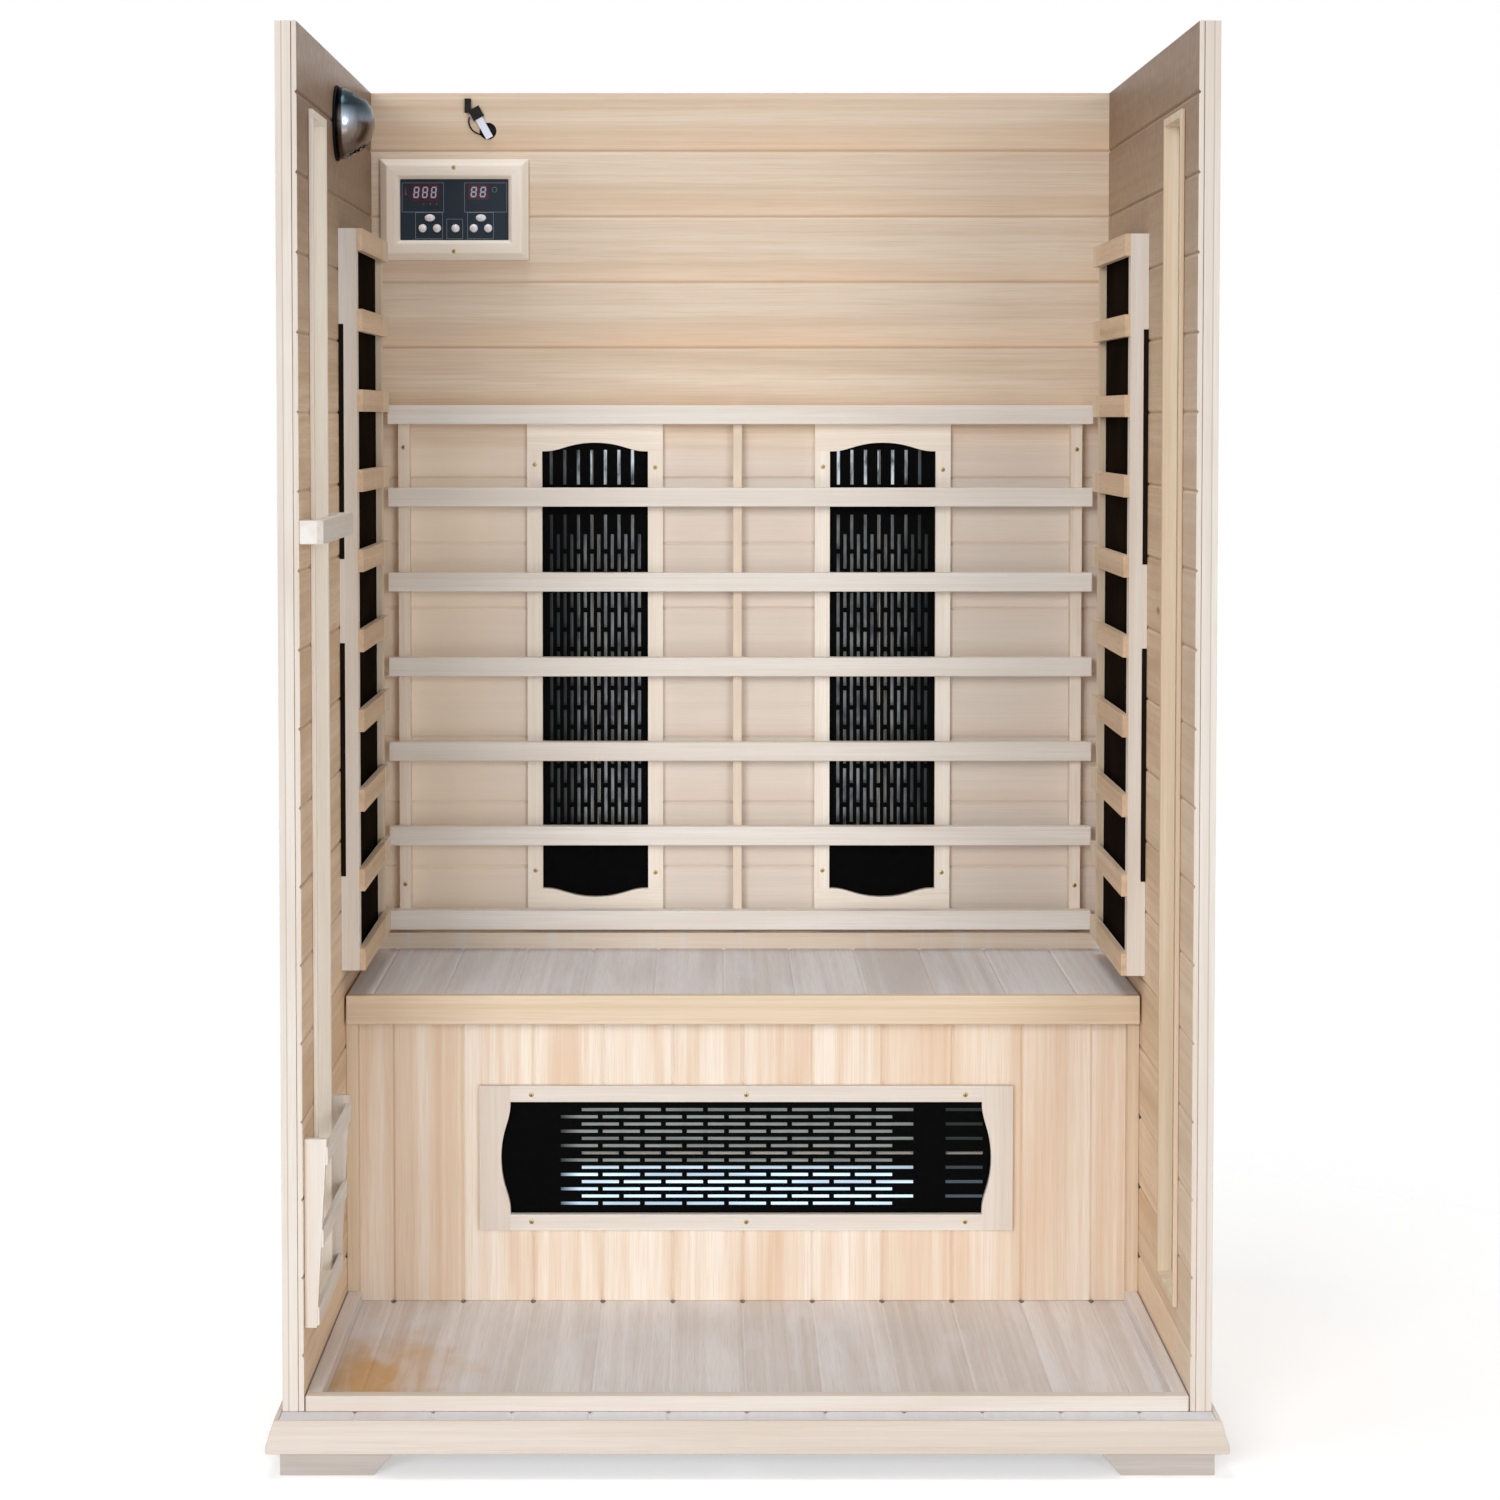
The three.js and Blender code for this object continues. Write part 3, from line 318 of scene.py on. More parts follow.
def layered_edge(g, colour):
    """The glue line between cladding and frame on a wall's edges, over the side wall's painted shade."""
    colour = side_wall_painted_shade(g, colour)
    distance = g.gap(g.math("ABSOLUTE", g.axis("x")), CLADDING_X)
    return g.mix(g.spread(distance, 0.0002, 0.0012, 0.45, 0.0), colour, srgb(150, 128, 108))


def floor_stain(g, colour):
    """An amber stain at the front left, pale scuffs, unlit groove ends and a greyer front ledge."""
    flat = g.vector("MULTIPLY", g.place, (1.0, 0.5, 0.0))
    uneven = g.both(g.math("SUBTRACT", g.noise((14, 9, 1), 3), 0.5), 0.16)
    ragged = g.math("ADD", g.distance(flat, (-0.485, -0.165, 0.0)), uneven)
    colour = g.mix(g.spread(ragged, 0.03, 0.13, 0.82, 0.0), colour, srgb(206, 157, 86))
    scuff = g.spread(g.noise((22, 5, 1), 4, None, 0.6), 0.54, 0.70, 0.0, 0.45)
    colour = g.mix(scuff, colour, srgb(230, 231, 236))
    ends = groove_ends(g, "x", 0.0, PANEL_Y)
    colour = g.mix(g.both(ends, 0.8), colour, srgb(66, 48, 36))
    ledge = g.spread(g.axis("y"), FRONT_Y - 0.002, FRONT_Y + 0.002, 0.7, 0.0)
    return g.mix(ledge, colour, srgb(226, 228, 236))


def lip_joint(g, colour):
    """The dark joint between the lip at the sides and the walls."""
    joint = g.spread(g.math("ABSOLUTE", g.axis("x")), WALL_X - 0.0030, WALL_X - 0.0014, 0.0, 0.75)
    return g.mix(joint, colour, srgb(66, 45, 32))


def seat_scuff(g, colour):
    """Cool, worn streaks along the seat planks."""
    scuff = g.spread(g.noise((30, 4, 1), 4, None, 0.5), 0.55, 0.72, 0.15, 0.55)
    return g.mix(scuff, colour, srgb(228, 231, 240))


def rear_boards(g, colour):
    """Boards amber at their lower edges and paler behind the backrest, and the unlit bore of the lead."""
    step = g.math("DIVIDE", g.math("SUBTRACT", g.axis("z"), FIRST_GROOVE - 10 * BOARD_PITCH), BOARD_PITCH)
    low = g.spread(g.math("FRACT", step), 0.0, 0.45, 0.42, 0.0)
    patch = g.spread(g.noise((1.6, 1.0, 4.0), 2), 0.3, 0.7, 0.3, 1.2)
    side = g.spread(g.axis("x"), -0.45, 0.50, 0.45, 1.0)
    colour = g.mix(g.both(low, g.both(patch, side)), colour, srgb(236, 186, 132))
    between = g.math("LESS_THAN", g.math("ABSOLUTE", g.axis("x")), WALL_X)
    inner = g.both(between, g.math("LESS_THAN", g.axis("y"), REAR_Y + 0.020))
    across = g.spread(g.axis("x"), -0.40, -0.22)
    paler = g.mix(across, srgb(251, 237, 220), srgb(233, 230, 228))
    behind = g.spread(g.axis("z"), 1.24, 1.29, 1.0, 0.0)
    share = g.both(behind, g.spread(across, 0.0, 1.0, 0.75, 0.5))
    colour = g.mix(g.both(share, inner), colour, paler)
    flat = g.vector("MULTIPLY", g.place, (1.0, 0.0, 1.0))
    near = g.math("LESS_THAN", g.distance(flat, (HOLE.x, 0.0, HOLE.z)), 0.02)
    deep = g.both(inner, g.spread(g.axis("y"), REAR_Y + 0.0003, REAR_Y + 0.0015))
    return g.mix(g.both(near, deep), colour, srgb(22, 15, 11))


# Boards and slats as (axis, pitch, phase)
BOARDS_UP = ("z", BOARD_PITCH, FIRST_GROOVE)
BOARDS_ACROSS = ("x", BOARD_PITCH, 0.0)
SEAT_BOARDS = ("x", BOARD_PITCH, SEAT_GROOVE)
SLATS_UP = ("z", 0.1186, 0.037)

# Middles of framed pieces, and how far from them their cross members start
BACK_HEATER_Z, BACK_HALF = 0.9305, 0.330
BENCH_HEATER_X, BENCH_HALF = 0.005, 0.330
WINDOW_Z, WINDOW_HALF = 0.936, 0.752
RACK_Y, RACK_HALF = -0.318, 0.1345

wood_side = wood("wood_side_panel", "y", "wall", BOARDS_UP,
                 [(facing("y"), "z", "edge"), (facing("z"), "y", "edge")], layered_edge)
wood_lining = wood("wood_side_lining", "y", "lining", BOARDS_UP,
                   [(facing("y"), "z", "edge"), (facing("z"), "y", "edge")], side_wall_painted_shade)
wood_rear = wood("wood_rear_wall", "x", "wall", BOARDS_UP, (), rear_boards)
wood_deck = wood("wood_deck", "y", "plank", BOARDS_ACROSS, (), floor_stain)
wood_seat = wood("wood_seat", "y", "plank", SEAT_BOARDS,
                 [(beyond("z", SEAT_TOP + 0.0005), "x", "warm")], seat_scuff)
wood_panel = wood("wood_bench_panel", "z", "panel", BOARDS_ACROSS,
                  [(away("x", 0, WALL_X - 0.0165), "z", "warm")])
wood_rails = wood("wood_rails", "x", "trim", SLATS_UP)
wood_backrest = wood("wood_backrest", "x", "trim", None, [(beyond("y", REAR_Y - 0.0271), "z", "upright")])
wood_nosing = wood("wood_nosing", "x", "warm")
wood_back_heater = wood("wood_back_heater", "z", "frame", None,
                        [(away("z", BACK_HEATER_Z, BACK_HALF), "x", "frame")])
wood_bench_heater = wood("wood_bench_heater", "x", "trim", None,
                         [(away("x", BENCH_HEATER_X, BENCH_HALF), "z", "edge")])
wood_side_heater = wood("wood_side_heater", "y", "slat", None,
                        [(away("x", 0, WALL_X - 0.0251), "z", "trim"), (beyond("y", 0.30), "z", "warm")])
wood_control = wood("wood_control_frame", "z", "frame", None,
                    [(mitre(CONTROL_X, CONTROL_Z, CONTROL_HALF_X, CONTROL_HALF_Z), "x", "frame")])
# The two trims take different tones: the left one is painted paler, as painted light where it stands in
# shade, and the right one warmer
wood_trim = wood("wood_window_trim", "z", "frame", None,
                 [(away("z", WINDOW_Z, WINDOW_HALF), "y", "frame"), (beyond("x", 0.0), "z", "warm")])
wood_skirt_x = wood("wood_skirt_x", "x", "skirt")
wood_skirt_y = wood("wood_skirt_y", "y", "skirt")
wood_along_y = wood("wood_along_y", "y", "trim")
wood_lip = wood("wood_floor_lip", "x", "edge", None,
                [(beyond("y", FRONT_Y + 0.0201), "y", "plank")], lip_joint)
wood_rack = wood("wood_rack", "y", "trim", None, [(away("y", RACK_Y, RACK_HALF), "z", "edge")])
wood_foot = wood("wood_foot", "x", "foot")


# Other materials

def speckled(name, colour, other, roughness, scale=400.0, share=0.5, depth=0.0001, **fixed):
    """A painted, moulded or cast surface with fine mottling."""
    g = Graph(name)
    spots = g.noise(scale, 3)
    shade = g.mix(g.spread(spots, 0.35, 0.7, 0.0, share), colour, other)
    rough = g.spread(g.noise(scale * 0.2, 2), 0.3, 0.7, roughness - 0.06, roughness + 0.08)
    return g.surface(shade, rough, spots, depth, 0.2, **fixed)


PAN_SHADE_ENDS = (0.235, 0.262)  # where a pan's painted shade starts and where it is full, from the middle of the bench heater
GLOW_BAND_BLUR = 0.008


def reflector(name, scales, low, high, bright, dim, strength, streaks):
    """Rolled sheet behind a heater tube. Its emission is a painted reflection that sends light out through
    the slots, stronger between two levels, and it has painted shade towards the pan's ends.
    """
    g = Graph(name)
    lines = g.noise(scales, 3)
    shade = g.mix(g.spread(lines, 0.3, 0.7), srgb(128, 133, 140), srgb(78, 82, 88))
    # Painted reflection: emission stronger between two levels and broken by dark streaks
    above = g.spread(g.axis("z"), low - GLOW_BAND_BLUR, low + GLOW_BAND_BLUR)
    below = g.spread(g.axis("z"), high - GLOW_BAND_BLUR, high + GLOW_BAND_BLUR, 1.0, 0.0)
    painted_light = g.mix(g.both(above, below), dim, bright)
    painted_light = g.mix(g.spread(lines, 0.40, 0.66, 0.0, streaks), painted_light, srgb(18, 19, 20))
    # Painted shade towards the pan's ends, in the emission and in the base colour
    ends = g.spread(g.gap(g.axis("x"), BENCH_HEATER_X), *PAN_SHADE_ENDS, 0.0, 0.9)
    painted_light = g.mix(ends, painted_light, srgb(22, 24, 24))
    shade = g.mix(ends, shade, srgb(34, 36, 38))
    g.tree.links.new(painted_light, g.shader.inputs["Emission Color"])
    return g.surface(shade, 0.3, lines, 0.00005, 0.15, metallic=0.8, emission_strength=strength)


def lamp_metal():
    """Tinted bright metal with painted reflections: dark above, a pale painted highlight near the wall,
    warmer below.
    """
    g = Graph("lamp_metal")
    lines = g.noise((700, 20, 20), 3)
    height = g.axis("z")
    # Painted reflections: warmer below, dark above
    colour = g.mix(g.spread(height, LAMP_Z - 0.012, LAMP_Z + 0.014), srgb(126, 113, 103), srgb(38, 52, 58))
    # Painted highlight near the wall
    painted_highlight = g.spread(g.gap(height, LAMP_Z + 0.004), 0.002, 0.019, 1.0, 0.0)
    near = g.spread(g.axis("x"), -WALL_X + 0.006, -WALL_X + 0.032, 1.0, 0.15)
    colour = g.mix(g.both(painted_highlight, near), colour, srgb(214, 232, 252))
    colour = g.mix(g.spread(lines, 0.4, 0.7, 0.0, 0.25), colour, srgb(70, 76, 82))
    return g.surface(colour, g.spread(lines, 0.3, 0.7, 0.16, 0.28), lines, 0.00005, 0.15, metallic=1.0)


WEAVE = 2600.0  # radians of the weave's waves per metre


def carbon_laminate():
    """Dark laminate with a faint crossed weave."""
    g = Graph("carbon_laminate")
    warp, weft = (g.math("SINE", g.math("MULTIPLY", g.axis(axis), WEAVE)) for axis in "yz")
    weave = g.math("MULTIPLY", warp, weft)
    colour = g.mix(g.spread(weave, -1, 1), srgb(24, 19, 16), srgb(35, 28, 23))
    colour = g.mix(g.spread(g.noise(9, 3), 0.4, 0.7, 0.0, 0.4), colour, srgb(46, 37, 30))
    return g.surface(colour, g.spread(g.noise(40, 2), 0.3, 0.7, 0.7, 0.85), weave, 0.00008, 0.2,
                     specular_ior_level=0.0)


def window_glass():
    """Clear glass, a little warm and uneven."""
    g = Graph("window_glass")
    colour = g.mix(g.spread(g.noise(3, 2), 0.35, 0.65), srgb(238, 234, 224), srgb(228, 222, 208))
    rough = g.spread(g.noise(25, 3), 0.4, 0.7, 0.01, 0.05)
    return g.surface(colour, rough, transmission_weight=1.0, ior=1.45)


def key_cap(name, middle):
    """White moulded key with a faint mark in its middle."""
    g = Graph(name)
    flat = g.vector("MULTIPLY", g.place, (1.0, 0.0, 1.0))
    shade = g.mix(g.spread(g.noise(500, 2), 0.4, 0.7), srgb(252, 249, 253), srgb(244, 240, 246))
    ring = g.gap(g.distance(flat, (middle.x, 0.0, middle.z)), 0.0016)
    colour = g.mix(g.spread(ring, 0.0003, 0.0007, 0.45, 0.0), shade, srgb(150, 152, 162))
    return g.surface(colour, g.spread(g.noise(300, 2), 0.3, 0.7, 0.28, 0.4), coat_weight=0.2)


black_paint = speckled("black_paint", srgb(3, 3, 4), srgb(9, 9, 10), 0.6, 900.0, specular_ior_level=0.03)
reflector_bench_painted_light = reflector("reflector_bench_painted_light", (5, 120, 120), 0.10, 0.258, srgb(206, 230, 252),
                            srgb(112, 117, 113), 1.4, 0.4)
reflector_back_painted_light = reflector("reflector_back_painted_light", (90, 300, 28), 1.19, 1.40, srgb(236, 246, 252),
                           srgb(92, 92, 84), 0.62, 0.95)
ceramic = speckled("heater_ceramic", srgb(214, 210, 202), srgb(186, 180, 170), 0.5, 500.0)
carbon = carbon_laminate()
glass = window_glass()
fascia = speckled("fascia_film", srgb(39, 48, 59), srgb(47, 57, 69), 0.4, 1200.0, 0.6, 0.00004,
                  specular_ior_level=0.1)
chrome = lamp_metal()
rubber = speckled("gasket_rubber", srgb(12, 12, 13), srgb(22, 22, 23), 0.7, 600.0, specular_ior_level=0.1)
connector = speckled("connector_plastic", srgb(222, 228, 244), srgb(202, 210, 232), 0.3, 400.0,
                     coat_weight=0.2)
plug_plastic = speckled("plug_plastic", srgb(13, 11, 10), srgb(24, 21, 19), 0.45, 500.0,
                        specular_ior_level=0.12)
brass = speckled("screw_brass", srgb(176, 156, 112), srgb(132, 112, 74), 0.35, 900.0, metallic=0.9)
# Painted shade standing in for the screws' crossed recesses
recess_painted_shade = speckled("screw_recess_painted_shade", srgb(40, 32, 22), srgb(58, 48, 34), 0.7, 900.0)
display_window = speckled("display_window", srgb(74, 34, 44), srgb(96, 44, 54), 0.3, 600.0,
                          specular_ior_level=0.15)
display_segment = speckled("display_segment", srgb(176, 190, 214), srgb(152, 166, 190), 0.4, 900.0,
                           specular_ior_level=0.2)
display_lamp = speckled("display_lamp", srgb(120, 42, 46), srgb(146, 62, 62), 0.25, 700.0, coat_weight=0.3)
outline_ink = speckled("outline_ink", srgb(126, 136, 144), srgb(106, 116, 124), 0.5, 900.0,
                       specular_ior_level=0.1)

DRESS = {
    "left_wall_panel": wood_side, "right_wall_panel": wood_side,
    "left_wall_lining": wood_lining, "right_wall_lining": wood_lining,
    "rear_wall": wood_rear, "floor_deck": wood_deck, "floor_lip": wood_lip,
    "bench_top": wood_seat, "bench_nosing": wood_nosing, "bench_front_panel": wood_panel,
    "backrest_frame": wood_backrest, "control_frame": wood_control,
    "back_heater_left_frame": wood_back_heater, "back_heater_right_frame": wood_back_heater,
    "bench_heater_frame": wood_bench_heater,
    "base_skirt_front": wood_skirt_x, "base_skirt_rear": wood_skirt_x,
    "base_skirt_left": wood_skirt_y, "base_skirt_right": wood_skirt_y,
    "towel_rail": wood_along_y, "magazine_rack": wood_rack,
    "control_fascia": fascia, "lamp_shade": chrome, "lamp_gasket": rubber,
    "lead_connector": connector, "lead_plug": plug_plastic,
    "bench_heater_reflector": reflector_bench_painted_light,
}
ENDINGS = {
    "_window_glass": glass, "_window_trim": wood_trim, "_grille": black_paint, "_reflector": reflector_back_painted_light,
    "_tube": ceramic, "_emitter": carbon,
}
STARTS = {"foot_": wood_foot, "backrest_slat": wood_rails, "side_heater": wood_side_heater}


def finish_of(name):
    """The material of a node, by its own name, its ending or its start."""
    if name in DRESS:
        return DRESS[name]
    for table, fits in ((ENDINGS, name.endswith), (STARTS, name.startswith)):
        for key, material in table.items():
            if fits(key):
                return material
    low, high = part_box(name)
    return key_cap("finish_" + name, (low + high) / 2)


WELD = 1e-6  # joins the corners that the imported mesh splits
WOOD_EASE = 0.0012


def soften(obj, width):
    """Eased edges, on welded corners."""
    obj.modifiers.new("weld", "WELD").merge_threshold = WELD
    bevel = obj.modifiers.new("ease", "BEVEL")
    bevel.width = width
    bevel.segments = 2
    bevel.limit_method = "ANGLE"
    bevel.angle_limit = math.radians(35)


def smooth(obj, degrees):
    """Smooth shading up to an angle between faces, on welded corners."""
    obj.modifiers.new("weld", "WELD").merge_threshold = WELD
    obj.data.polygons.foreach_set("use_smooth", [True] * len(obj.data.polygons))
    obj.data.set_sharp_from_angle(angle=math.radians(degrees))


for name, obj in nodes.items():
    if name == "lead_wire":
        continue
    material = finish_of(name)
    obj.data.materials.clear()
    obj.data.materials.append(material)
    if material.name.startswith("wood"):
        soften(obj, WOOD_EASE)

turned = [name for name in nodes if name.endswith("_tube") or name.startswith("button_")]
for name in ("lamp_shade", "lamp_gasket", *turned):
    smooth(nodes[name], 40)


# The lead's thin wire, from the bottom of the hole in the rear wall to the plug

# Places from the hole's middle in millimetres, as (right, up, out to the front)
WIRE_ROUTE = [
    (-8.6, -5.7, -15.7), (-8.6, -5.7, -4.0), (-9.4, -5.6, 0.6), (-12.4, -4.9, 2.6), (-16.5, -3.2, 3.1),
    (-22.5, 0.5, 3.4), (-27.0, 7.0, 3.8), (-28.6, 14.5, 4.2), (-27.6, 20.5, 4.5),
]
WIRE_DIAMETER = 0.0022


def along_route(points, steps):
    """Points of a smooth curve through the given ones."""
    ends = [2 * points[0] - points[1], *points, 2 * points[-1] - points[-2]]
    made = []
    for a, b, c, d in zip(ends, ends[1:], ends[2:], ends[3:]):
        for k in range(steps):
            t = k / steps
            made.append(0.5 * (2 * b + (c - a) * t + (2 * a - 5 * b + 4 * c - d) * t * t
                               + (3 * b - a - 3 * c + d) * t ** 3))
    return [*made, points[-1]]


def make_wire():
    """A black cord in place of the model's wire."""
    route = [HOLE + Vector((x, -out, up)) / 1000 for x, up, out in WIRE_ROUTE]
    points = along_route(route, 4)
    curve = bpy.data.curves.new("wire", "CURVE")
    curve.dimensions = "3D"
    curve.bevel_depth = WIRE_DIAMETER / 2
    curve.bevel_resolution = 4
    curve.use_fill_caps = True
    spline = curve.splines.new("POLY")
    spline.points.add(len(points) - 1)
    for point, place in zip(spline.points, points):
        point.co = (*place, 1.0)
    curve.materials.append(plug_plastic)
    wire = bpy.data.objects.new("wire", curve)
    scene.collection.objects.link(wire)
    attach(wire, CABIN)
    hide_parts("lead_wire")


make_wire()


# Small pieces

def new_piece(name, mesh, materials):
    """A piece on the cabin, from a mesh that is used up."""
    data = bpy.data.meshes.new(name)
    bmesh.ops.recalc_face_normals(mesh, faces=mesh.faces)
    mesh.to_mesh(data)
    mesh.free()
    for material in materials:
        data.materials.append(material)
    obj = bpy.data.objects.new(name, data)
    scene.collection.objects.link(obj)
    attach(obj, CABIN)
    return obj


def plate(mesh, outline, back, front, material=0):
    """A flat plate facing the front: its outline is in (x, z), from y back to y front."""
    rings = [[mesh.verts.new((x, y, z)) for x, z in outline] for y in (back, front)]
    faces = [mesh.faces.new(rings[0]), mesh.faces.new(rings[1])]
    count = len(outline)
    for i in range(count):
        j = (i + 1) % count
        faces.append(mesh.faces.new((rings[0][i], rings[0][j], rings[1][j], rings[1][i])))
    for face in faces:
        face.material_index = material


def rounded(x0, z0, x1, z1, radius):
    """The outline of a rectangle with rounded corners."""
    steps = 3
    points = []
    corners = [(x1 - radius, z1 - radius, 0), (x0 + radius, z1 - radius, 90),
               (x0 + radius, z0 + radius, 180), (x1 - radius, z0 + radius, 270)]
    for x, z, start in corners:
        for k in range(steps + 1):
            angle = math.radians(start + 90 * k / steps)
            points.append((x + radius * math.cos(angle), z + radius * math.sin(angle)))
    return points


def lathe(mesh, middle, profile, sides, material=0):
    """A turned body facing the front, by (radius, height) from its base at middle to its tip."""
    rings = []
    for radius, height in profile:
        ring = [middle + Vector((radius * math.cos(2 * math.pi * k / sides), -height,
                                 radius * math.sin(2 * math.pi * k / sides))) for k in range(sides)]
        rings.append([mesh.verts.new(p) for p in ring])
    faces = [mesh.faces.new(rings[0]), mesh.faces.new(rings[-1])]
    for low, high in zip(rings, rings[1:]):
        for k in range(sides):
            j = (k + 1) % sides
            faces.append(mesh.faces.new((low[k], low[j], high[j], high[k])))
    for face in faces:
        face.material_index = material


# Screws, as (x, z) on the face at depth y
UPRIGHT_Y = REAR_Y - 0.027
BACK_HEATER_Y = REAR_Y - 0.012
BENCH_HEATER_Y = PANEL_Y - 0.012
CONTROL_FRAME_Y = REAR_Y - 0.019
SCREWS = {
    "screws_backrest": (UPRIGHT_Y, [(-0.504, 1.2665), (-0.504, 0.6087), (0.504, 1.2635), (0.504, 0.6072)]),
    "screws_back_heater_left": (BACK_HEATER_Y, [(-0.3085, 1.2408), (-0.1275, 1.2363),
                                                (-0.3085, 0.6278), (-0.1275, 0.6248)]),
    "screws_back_heater_right": (BACK_HEATER_Y, [(0.1245, 1.2373), (0.3045, 1.233),
                                                 (0.1245, 0.6278), (0.3045, 0.6248)]),
    "screws_bench_heater": (BENCH_HEATER_Y, [(x, z) for z in (0.3652, 0.1858)
                                             for x in (-0.2955, 0.0053, 0.3116)]),
    "screws_control_frame": (CONTROL_FRAME_Y, [(CONTROL_X, 1.6845), (CONTROL_X, 1.5595)]),
}
SCREW_HEAD = [(0.0034, -0.002), (0.0034, 0.0001), (0.0031, 0.0005), (0.002, 0.0008), (0.0006, 0.0009)]


def make_screws(name, y, places):
    """Round-headed screws, with their crossed recesses drawn as dark crosses in painted shade, each turned
    a little further.
    """
    mesh = bmesh.new()
    for order, (x, z) in enumerate(places):
        middle = Vector((x, y, z))
        lathe(mesh, middle, SCREW_HEAD, 20)
        turn = 0.4 + 0.7 * order
        for angle in (turn, turn + math.pi / 2):
            run = Vector((math.cos(angle), math.sin(angle))) * 0.0017
            side = Vector((-math.sin(angle), math.cos(angle))) * 0.0004
            corners = [-run - side, run - side, run + side, -run + side]
            # A dark cross of painted shade stands in for the recess
            plate(mesh, [(x + p.x, z + p.y) for p in corners], y, y - 0.00105, 1)
    new_piece(name, mesh, [brass, recess_painted_shade])


for name, (y, places) in SCREWS.items():
    make_screws(name, y, places)


# Control panel: display windows, digits, lamps, signs and printed outlines

INK = 0.00012  # thickness of prints and digits
PRINT_Y = FASCIA_Y + 0.0002
DISPLAY_Y = FASCIA_Y - 0.0003
DISPLAY_EDGE = 0.0015

# Display windows as (x0, z0, x1, z1, digits)
DISPLAYS = {
    "display_left": (-0.4928, 1.6356, -0.4509, 1.6603, 3),
    "display_right": (-0.4072, 1.6372, -0.3768, 1.6598, 2),
}
LAMP_DOME = [(0.0013, 0), (0.0013, 0.0005), (0.001, 0.0009), (0.0004, 0.0011)]


def make_digit(mesh, x, z, wide, high, y):
    """A seven-bar figure of eight, leaning a little."""
    bar = wide * 0.12
    lean = 0.10
    tall = high / 2

    def add(points):
        plate(mesh, [(x + px + lean * pz, z + pz) for px, pz in points], y, y - INK)

    half = wide / 2 - bar
    for level in (-tall, 0.0, tall):
        flat = half - bar * 0.35
        add([(-flat - bar * 0.6, level), (-flat, level - bar), (flat, level - bar),
             (flat + bar * 0.6, level), (flat, level + bar), (-flat, level + bar)])
    for side in (-half, half):
        for base in (-tall, 0.0):
            low, top = base + bar * 0.9, base + tall - bar * 0.9
            add([(side, low - bar * 0.5), (side + bar, low + bar * 0.5), (side + bar, top - bar * 0.5),
                 (side, top + bar * 0.5), (side - bar, top - bar * 0.5), (side - bar, low + bar * 0.5)])


for name, (x0, z0, x1, z1, count) in DISPLAYS.items():
    mesh = bmesh.new()
    plate(mesh, rounded(x0, z0, x1, z1, 0.0012), FASCIA_Y + 0.0004, DISPLAY_Y)
    window = new_piece(name, mesh, [display_window])
    soften(window, 0.0001)
    mesh = bmesh.new()
    pitch = (x1 - x0 - 2 * DISPLAY_EDGE) / count
    for k in range(count):
        middle = x0 + DISPLAY_EDGE + pitch * (k + 0.5)
        make_digit(mesh, middle, (z0 + z1) / 2, pitch * 0.66, (z1 - z0) * 0.60, DISPLAY_Y)
    new_piece(name + "_digits", mesh, [display_segment])


def make_lamps():
    """Three small domes under the left display."""
    mesh = bmesh.new()
    for x in (-0.4741, -0.4643, -0.4553):
        lathe(mesh, Vector((x, FASCIA_Y + 0.0003, 1.6305)), LAMP_DOME, 16)
    smooth(new_piece("display_lamps", mesh, [display_lamp]), 50)


def make_signs():
    """A thermometer beside the left display and a ring beside the right one."""
    mesh = bmesh.new()
    x, z = -0.501, 1.649
    stem = rounded(x - 0.0008, z - 0.002, x + 0.0008, z + 0.007, 0.0007)
    plate(mesh, stem, PRINT_Y, FASCIA_Y - INK, 1)
    lathe(mesh, Vector((x, PRINT_Y, z - 0.0035)), [(0.002, 0), (0.002, 0.0002 + INK)], 18, 1)
    ring = Vector((-0.3679, FASCIA_Y, 1.652))
    sides = 24
    for k in range(0, sides, 3):
        a, b = (2 * math.pi * (k + d) / sides for d in (0, 2.2))
        corners = ((0.0042, a), (0.0042, b), (0.0032, b), (0.0032, a))
        arc = [(ring.x + r * math.cos(t), ring.z + r * math.sin(t)) for r, t in corners]
        plate(mesh, arc, PRINT_Y, FASCIA_Y - INK)
    new_piece("panel_signs", mesh, [outline_ink, display_lamp])


# Printed boxes as (x0, z0, x1, z1)
PRINTED = [
    (-0.5066, 1.6183, -0.4437, 1.6625), (-0.4866, 1.5785, -0.4456, 1.6183),
    (-0.4399, 1.5785, -0.4153, 1.6084), (-0.4131, 1.6183, -0.3494, 1.6625),
    (-0.4087, 1.5785, -0.3693, 1.6183),
]
LINE = 0.0007


def make_outlines():
    """Printed boxes around the displays and keys."""
    mesh = bmesh.new()
    for x0, z0, x1, z1 in PRINTED:
        bars = [(x0, z0, x1, z0 + LINE), (x0, z1 - LINE, x1, z1), (x0, z0 + LINE, x0 + LINE, z1 - LINE),
                (x1 - LINE, z0 + LINE, x1, z1 - LINE)]
        for a, b, c, d in bars:
            plate(mesh, [(a, b), (c, b), (c, d), (a, d)], PRINT_Y, FASCIA_Y - INK)
    new_piece("panel_outlines", mesh, [outline_ink])


make_lamps()
make_signs()
make_outlines()


# Floor, light and background

FLOOR_FADE = (0.8, 1.9)  # radii between which the floor fades out
FLOOR_GLOW = 0.42  # lifts the floor to the background's white where the camera sees it
AMBIENT = 0.36  # level of the light from all round

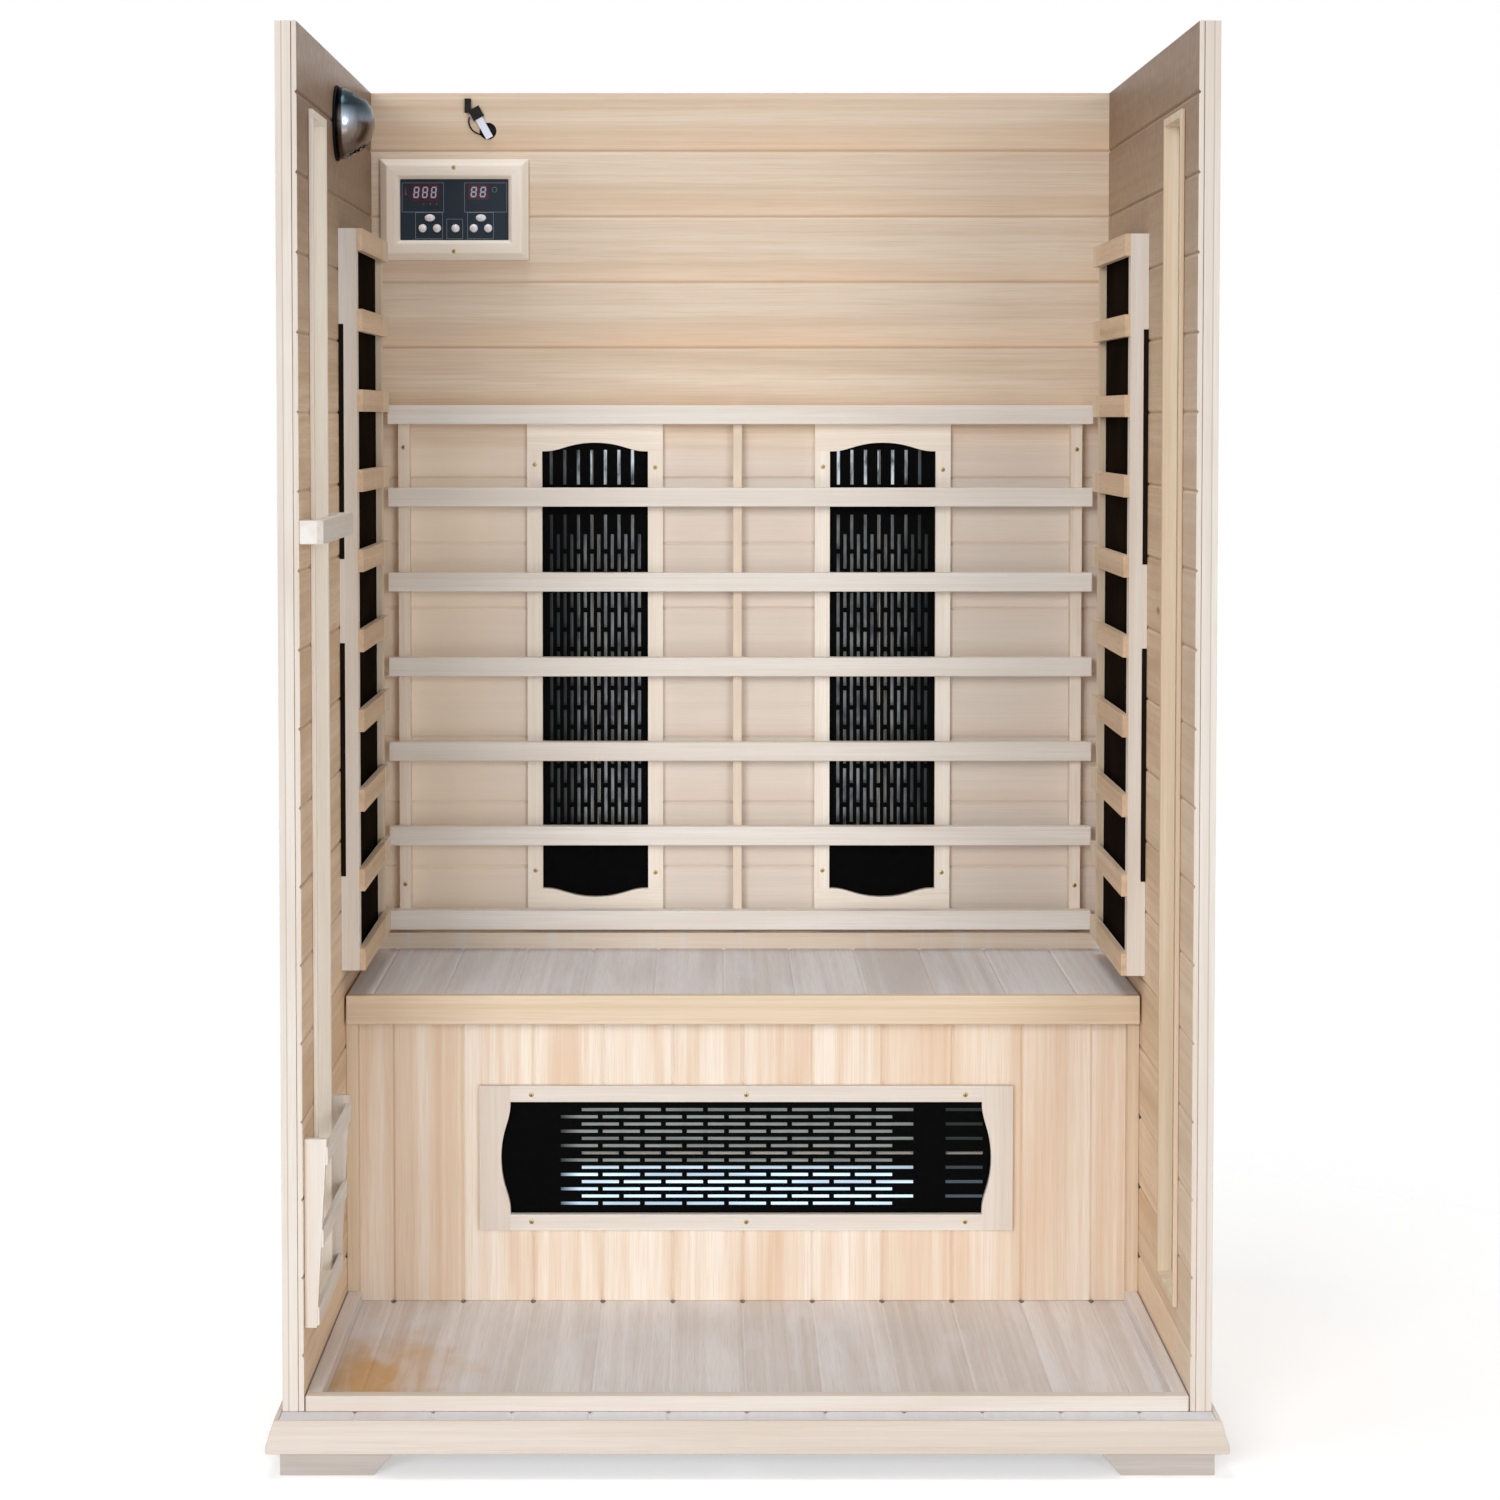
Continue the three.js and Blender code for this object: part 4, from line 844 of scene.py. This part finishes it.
# Lights as (name, place, target, size, watts), some with a spread
LIGHTS = [
    ("key", (-3.0, -9.2, 3.0), (0, 0.2, 0.8), (3.0, 2.4), 335),
    ("fill", (3.2, -9.0, 2.2), (0, 0.2, 0.7), (2.4, 2.4), 175),
    ("top", (-0.5, -0.5, 4.2), (0.1, -0.1, 0.0), (1.4, 1.2), 6, math.radians(70)),
    ("low", (0.0, -2.9, 0.03), (0.0, -0.2, 0.9), (2.8, 0.8), 12),
    ("rear", (0.6, 8.5, 1.4), (0, 0.5, 0.9), (3.0, 2.2), 260),
    ("left", (-8.0, 0.8, 1.0), (-0.6, 0.0, 0.9), (3.0, 1.6), 150),
    ("right", (8.0, 0.8, 1.0), (0.6, 0.0, 0.9), (3.0, 1.6), 150),
]


def make_floor():
    """A pale floor that takes the shadow near the cabin and fades into the white background."""
    mesh = bmesh.new()
    bmesh.ops.create_grid(mesh, x_segments=8, y_segments=8, size=4)
    data = bpy.data.meshes.new("floor")
    mesh.to_mesh(data)
    mesh.free()
    g = Graph("floor_pale")
    colour = g.mix(g.spread(g.noise(1.5, 3), 0.35, 0.65), srgb(246, 246, 247), srgb(243, 243, 244))
    distance = g.distance(g.place, (0.0, -0.1, 0.0))
    g.tree.links.new(g.spread(distance, *FLOOR_FADE, 1.0, 0.0), g.shader.inputs["Alpha"])
    seen = g.add("LightPath").outputs["Is Camera Ray"]
    g.tree.links.new(g.spread(seen, 0.0, 1.0, 0.0, FLOOR_GLOW), g.shader.inputs["Emission Strength"])
    g.shader.inputs["Emission Color"].default_value = (1, 1, 1, 1)
    data.materials.append(g.surface(colour, 0.9, specular_ior_level=0.0))
    floor = bpy.data.objects.new("floor", data)
    scene.collection.objects.link(floor)


def make_world():
    """Soft light from all round, and a white background where the camera, metal and glass see it."""
    world = bpy.data.worlds.new("studio")
    scene.world = world
    world.use_nodes = True
    tree = world.node_tree
    back = tree.nodes["Background"]
    paths = tree.nodes.new("ShaderNodeLightPath")
    seen = paths.outputs["Is Camera Ray"]
    for name in ("Is Glossy Ray", "Is Transmission Ray"):
        both = tree.nodes.new("ShaderNodeMath")
        both.operation = "MAXIMUM"
        tree.links.new(seen, both.inputs[0])
        tree.links.new(paths.outputs[name], both.inputs[1])
        seen = both.outputs[0]
    level = tree.nodes.new("ShaderNodeMapRange")
    level.inputs["To Min"].default_value = AMBIENT
    level.inputs["To Max"].default_value = 1.0
    tree.links.new(seen, level.inputs["Value"])
    tree.links.new(level.outputs[0], back.inputs["Strength"])
    back.inputs["Color"].default_value = (1, 1, 1, 1)


def make_light(name, place, target, size, watts, spread=math.pi):
    """A rectangular area light that faces its target."""
    lamp = bpy.data.lights.new(name, "AREA")
    lamp.shape = "RECTANGLE"
    lamp.size, lamp.size_y = size
    lamp.energy = watts
    lamp.spread = spread
    obj = bpy.data.objects.new(name, lamp)
    obj.location = place
    obj.rotation_euler = (Vector(target) - Vector(place)).to_track_quat("-Z", "Y").to_euler()
    scene.collection.objects.link(obj)


make_floor()
make_world()
for light in LIGHTS:
    make_light(*light)
